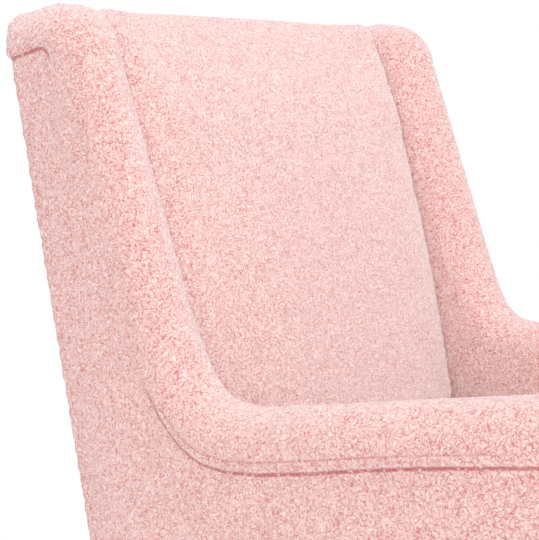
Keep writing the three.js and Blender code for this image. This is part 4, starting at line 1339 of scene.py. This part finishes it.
def turn(shape, middle, axis, stations, sides):
    """Adds a closed turned solid. The stations are (place along the axis, radius), in millimetres."""
    flat = [i for i in range(3) if i != axis]
    rings = []
    for place_mm, radius in stations:
        ring = []
        for step in range(sides):
            angle = 2 * math.pi * step / sides
            at = Vector(middle)
            at[axis] = place_mm * MM
            at[flat[0]] += radius * MM * math.cos(angle)
            at[flat[1]] += radius * MM * math.sin(angle)
            ring.append(shape.verts.new(at))
        rings.append(ring)
    for lower, upper in zip(rings, rings[1:]):
        for step in range(sides):
            shape.faces.new((lower[step - 1], lower[step], upper[step], upper[step - 1]))
    shape.faces.new(rings[0])
    shape.faces.new(rings[-1])


def smooth_piece(name, shape, material):
    """A smooth piece of one material, made of the solids in shape."""
    bmesh.ops.recalc_face_normals(shape, faces=shape.faces)
    piece = new_object(name, mesh_from(shape, name))
    piece.data.shade_smooth()
    piece.data.materials.append(material)
    return piece


def fitting(name, node_name, body, material, parts):
    """A small hard piece made of turned solids, in place of a solid of the frame."""
    low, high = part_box(node_name)
    shape = bmesh.new()
    for axis, stations, sides in parts:
        turn(shape, (Vector(low) + Vector(high)) / 2, axis, stations, sides)
    piece = smooth_piece(name, shape, material)
    piece.data.set_sharp_from_angle(angle=SHARP_FROM)
    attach(piece, body)
    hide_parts(node_name)


# %% [markdown]
# ### Pins
# Each link hangs on two headed pins with domed ends. A pin's ends are read from the frame, so it
# always reaches through the same plates, and only its thickness and the shape of its heads are set
# here.

# %% Make the pins
SHANK, PIN_HEAD = 5.0, 8.5  # radii
DOME_TURN, DOME_STEPS = math.radians(78), 5
HANGER_HEAD, LINK_HEAD = 1.7, 3.2  # how thick a head is on the hanger's side and on the link's


def dome(base, crown, radius):
    """Stations from the rim of a domed head up to its crown."""
    turns = [DOME_TURN * step / DOME_STEPS for step in range(DOME_STEPS + 1)]
    return [(base + (crown - base) * math.sin(at), radius * math.cos(at)) for at in turns]


def pin(kind, corner, body, inner_head, outer_head):
    """A headed pin along X. Its ends come from the frame, and its heads are this thick."""
    node_name = f"{kind}_pin_{corner}"
    low, high = (side[0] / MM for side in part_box(node_name))
    if low < 0:
        inner_head, outer_head = outer_head, inner_head
    start, end = low + inner_head, high - outer_head
    shank = [(start, SHANK), (end, SHANK)]
    stations = dome(start, low, PIN_HEAD)[::-1] + shank + dome(end, high, PIN_HEAD)
    parts = [(0, stations, ROUND)]
    fitting(f"{kind}_pivot_{corner}", node_name, body, ZINC, parts)


CORNERS = [f"{end}_{side_name}" for end in ("front", "rear") for side_name in SIDES]
for corner in CORNERS:
    pin("lower", corner, "chair_body", HANGER_HEAD, LINK_HEAD)
    pin("upper", corner, "turntable", LINK_HEAD, LINK_HEAD)
print("pins:", 2 * len(CORNERS))

# %% [markdown]
# ### Bolts
# Four flange bolts hold the hangers to the mount rails, and the king bolt with its nut holds the
# turntable down. Each is a hexagon and one or two round solids that run into each other, as a forged
# bolt is. A thread isn't cut: no thread is left open to the eye.

# %% Make the bolts
def flange_bolt(corner):
    node_name = f"mount_bolt_{corner}"
    foot, tip = (side[2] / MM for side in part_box(node_name))
    head = [(foot, 5.9), (foot + 0.7, 7.4), (foot + 3.9, 7.4)]
    flange = [(foot + 3.5, 6.4), (foot + 3.9, 7.8), (foot + 4.9, 8.0), (foot + 5.0, 4.0)]
    shank = [(tip - 2, 4.0), (tip, 2.6)]
    parts = [(2, head, HEXAGON), (2, flange + shank, ROUND)]
    fitting(f"flange_bolt_{corner}", node_name, "chair_body", ZINC, parts)


def king_bolt():
    foot, tip = (side[2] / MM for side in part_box("swivel_king_bolt"))
    head = [(foot, 9.0), (foot + 0.8, 10.9), (foot + 6, 10.9)]
    shank = [(foot + 5.5, 6.0), (tip - 0.6, 6.0), (tip, 5.2)]
    nut = [(tip - 6, 10.9), (tip - 1.8, 10.9), (tip - 1.0, 9.2)]
    parts = [(2, head, HEXAGON), (2, shank, ROUND), (2, nut, HEXAGON)]
    fitting("king_bolt", "swivel_king_bolt", "base", ZINC, parts)


for corner in CORNERS:
    flange_bolt(corner)
king_bolt()
print("bolts:", len(CORNERS) + 1)

# %% [markdown]
# ### Welds
# The cross is welded onto the ring at its four ends, along both sides of each arm. A bead of weld is a
# row of small overlapping puddles that tapers at both ends. It could be sculpted, but turned about its
# own length, with a radius that goes up and down, it looks the same. About half of it is in the steel.

# %% Make the welds that hold the cross on the ring
CROSS_HALF = 20 * MM
BEAD_FROM, BEAD_TO, BEAD_RADIUS = 240.0, 257.0, 2.4
BEAD_STEPS, BEAD_SIDES = 12, 16
BEAD_ABOVE_RING = 0.5 * MM
RIPPLE_SHARE = 0.12  # of the radius, between one puddle and the next


def bead(middle, way):
    """Stations along one bead, from the middle of the chair outward along one arm."""
    stations = []
    for step in range(BEAD_STEPS + 1):
        share = step / BEAD_STEPS
        ripple = RIPPLE_SHARE * (step % 2) + 0.88
        radius = BEAD_RADIUS * ripple * max(0.15, math.sin(math.pi * share)) ** 0.35
        run = BEAD_FROM + share * (BEAD_TO - BEAD_FROM)
        stations.append((middle / MM + way * run, radius))
    return stations


def welds():
    """Eight beads in one piece."""
    low, high = (Vector(corner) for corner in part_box("base_cross"))
    middle = (low + high) / 2
    shape = bmesh.new()
    for axis, other in ((0, 1), (1, 0)):
        for way in (-1, 1):
            for edge in (-1, 1):
                at = middle.copy()
                at[other] += edge * CROSS_HALF
                at.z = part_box("base_ring")[1][2] + BEAD_ABOVE_RING
                turn(shape, at, axis, bead(middle[axis], way), BEAD_SIDES)
    piece = smooth_piece("weld_beads", shape, COAT)
    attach(piece, "base")
    print(piece.name, len(piece.data.polygons), "faces")


welds()

# %% [markdown]
# ### Staples
# Staples hold the hems to the wood. Only their crowns show, so each is a short length of wire that
# lies on the cloth. Each could be an object of its own, but nobody handles one staple by itself, so
# all of them are one piece.

# %% Make the staples that hold the hems
STAPLE_EVERY, STAPLES_FROM_END = 42 * MM, 50 * MM
STAPLE_HALF, STAPLE_WIRE, STAPLE_TIP, STAPLE_SIDES = 5.5, 0.6, 0.3, 8
STAPLE_BEND = 0.5  # how long the bend at each end of a crown is
SIDE_ROW, FRONT_ROW = 12 * MM, 3 * MM  # how far a row runs from the middle of its wood


def staples():
    """Crowns of wire along the hems, in one piece. The legs are in the wood, where nobody sees them."""
    shape = bmesh.new()
    places = (-STAPLE_HALF, STAPLE_BEND - STAPLE_HALF, STAPLE_HALF - STAPLE_BEND, STAPLE_HALF)
    crown = list(zip(places, (STAPLE_TIP, STAPLE_WIRE, STAPLE_WIRE, STAPLE_TIP)))
    rows = [(f"side_frame_{side_name}", 1, side * SIDE_ROW) for side_name, side in SIDES.items()]
    rows.append(("front_rail", 0, FRONT_ROW))
    made = 0
    for node_name, axis, off_middle in rows:
        low, high = foot_of(node_name)
        start, end = low[axis] + STAPLES_FROM_END, high[axis] - STAPLES_FROM_END
        count = int((end - start) / STAPLE_EVERY)
        for step in range(count + 1):
            at = Vector(((low + high) / 2).tolist())
            at[1 - axis] += off_middle
            at.z = low[2] + STAPLE_WIRE * MM
            run = (start + step * (end - start) / count) / MM
            turn(shape, at, axis, [(run + place, radius) for place, radius in crown], STAPLE_SIDES)
            made += 1
    piece = smooth_piece("hem_staples", shape, ZINC)
    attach(piece, "chair_body")
    print("staples:", made)


staples()

# %% [markdown]
# ### Floor pads and bumpers
# The ring stands on four moulded pads with a rounded foot, which spare the floor. Four rubber bumpers
# on the stands stop the glider softly at each end of its way. Both are round about one axis, so they
# are turned too.

# %% Make the floor pads and the bumpers
PAD = [(0.0, 10.8), (0.3, 12.0), (1.2, 13.1), (3.8, 14.6), (5.1, 15.0), (5.7, 14.7)]
CONE = [(0.0, 9.0), (3.6, 9.0), (5.2, 8.5), (6.2, 7.3), (6.7, 5.4), (6.6, 3.4), (5.9, 2.2)]


def bumper(corner):
    node_name = f"bumper_{corner}"
    low, high = (side[0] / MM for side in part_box(node_name))
    base, nose = (low, high) if low > 0 else (high, low)
    way = 1 if nose > base else -1
    stations = [(base + way * at, radius) for at, radius in CONE]
    fitting(f"stop_{corner}", node_name, "turntable", RUBBER, [(0, stations, ROUND)])


for number in range(1, 5):
    fitting(f"glide_pad_{number}", f"floor_pad_{number}", "base", NYLON, [(2, PAD, ROUND)])
for corner in CORNERS:
    bumper(corner)
print("floor pads: 4, bumpers:", len(CORNERS))

# %% [markdown]
# ## Hard parts
# The other steel, timber and nylon parts keep their solids. A solid's edges are perfectly sharp,
# though, and a real edge is never sharp: it catches a line of light. So the doubled points are
# welded and each edge is eased by a bevel the size that its cutter would leave. Round faces come as
# many flat ones, so they are shaded smooth wherever two faces meet at a low angle. The meshes could be
# edited for good instead, but a row of modifiers can be changed or taken off again.

# %% Smooth the rounds
EDGE_ANGLE = math.radians(28)


def rounding():
    """Smooth shading that leaves sharp edges sharp, as geometry nodes."""
    tree = bpy.data.node_groups.new("smooth rounds", "GeometryNodeTree")
    tree.is_modifier = True
    for way in ("INPUT", "OUTPUT"):
        tree.interface.new_socket("Geometry", in_out=way, socket_type="NodeSocketGeometry")
    given, made = tree.nodes.new("NodeGroupInput"), tree.nodes.new("NodeGroupOutput")
    angle = tree.nodes.new("GeometryNodeInputMeshEdgeAngle").outputs["Unsigned Angle"]
    steep = maths(tree, "GREATER_THAN", angle, SHARP_FROM)
    edges, faces = (tree.nodes.new("GeometryNodeSetShadeSmooth") for _ in range(2))
    edges.domain, faces.domain = "EDGE", "FACE"
    tree.links.new(given.outputs[0], edges.inputs["Geometry"])
    tree.links.new(steep, edges.inputs["Selection"])
    edges.inputs["Shade Smooth"].default_value = False
    tree.links.new(edges.outputs[0], faces.inputs["Geometry"])
    tree.links.new(faces.outputs[0], made.inputs[0])
    return tree


ROUNDING = rounding()
print("shading:", ROUNDING.name)

# %% Finish the hard parts
EASED = {
    "wood": 1.2 * MM,
    "black_steel": 0.6 * MM,
    "zinc_steel": 0.4 * MM,
    "rubber": 0.8 * MM,
    "nylon": 0.6 * MM,
}
FINISHES = {
    "wood": PINE,
    "black_steel": COAT,
    "zinc_steel": ZINC,
    "spring_steel": WIRE,
    "rubber": RUBBER,
    "nylon": NYLON,
}

for name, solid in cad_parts.items():
    kind = solid.material_slots[0].name.split(".")[0]
    if kind not in FINISHES:
        continue
    solid.material_slots[0].material = PLY if name.startswith("side_frame") else FINISHES[kind]
    joined = solid.modifiers.new("welded points", "WELD")
    joined.merge_threshold = SAME_POINT
    if kind in EASED:
        eased = solid.modifiers.new("eased edges", "BEVEL")
        eased.width = EASED[kind]
        eased.segments = 2
        eased.angle_limit = EDGE_ANGLE
        eased.use_clamp_overlap = True
    solid.modifiers.new("smooth rounds", "NODES").node_group = ROUNDING
    if kind in EASED:
        even = solid.modifiers.new("even shading", "WEIGHTED_NORMAL")
        even.keep_sharp = True
print("hard parts finished:", sum(1 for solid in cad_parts.values() if len(solid.modifiers)))
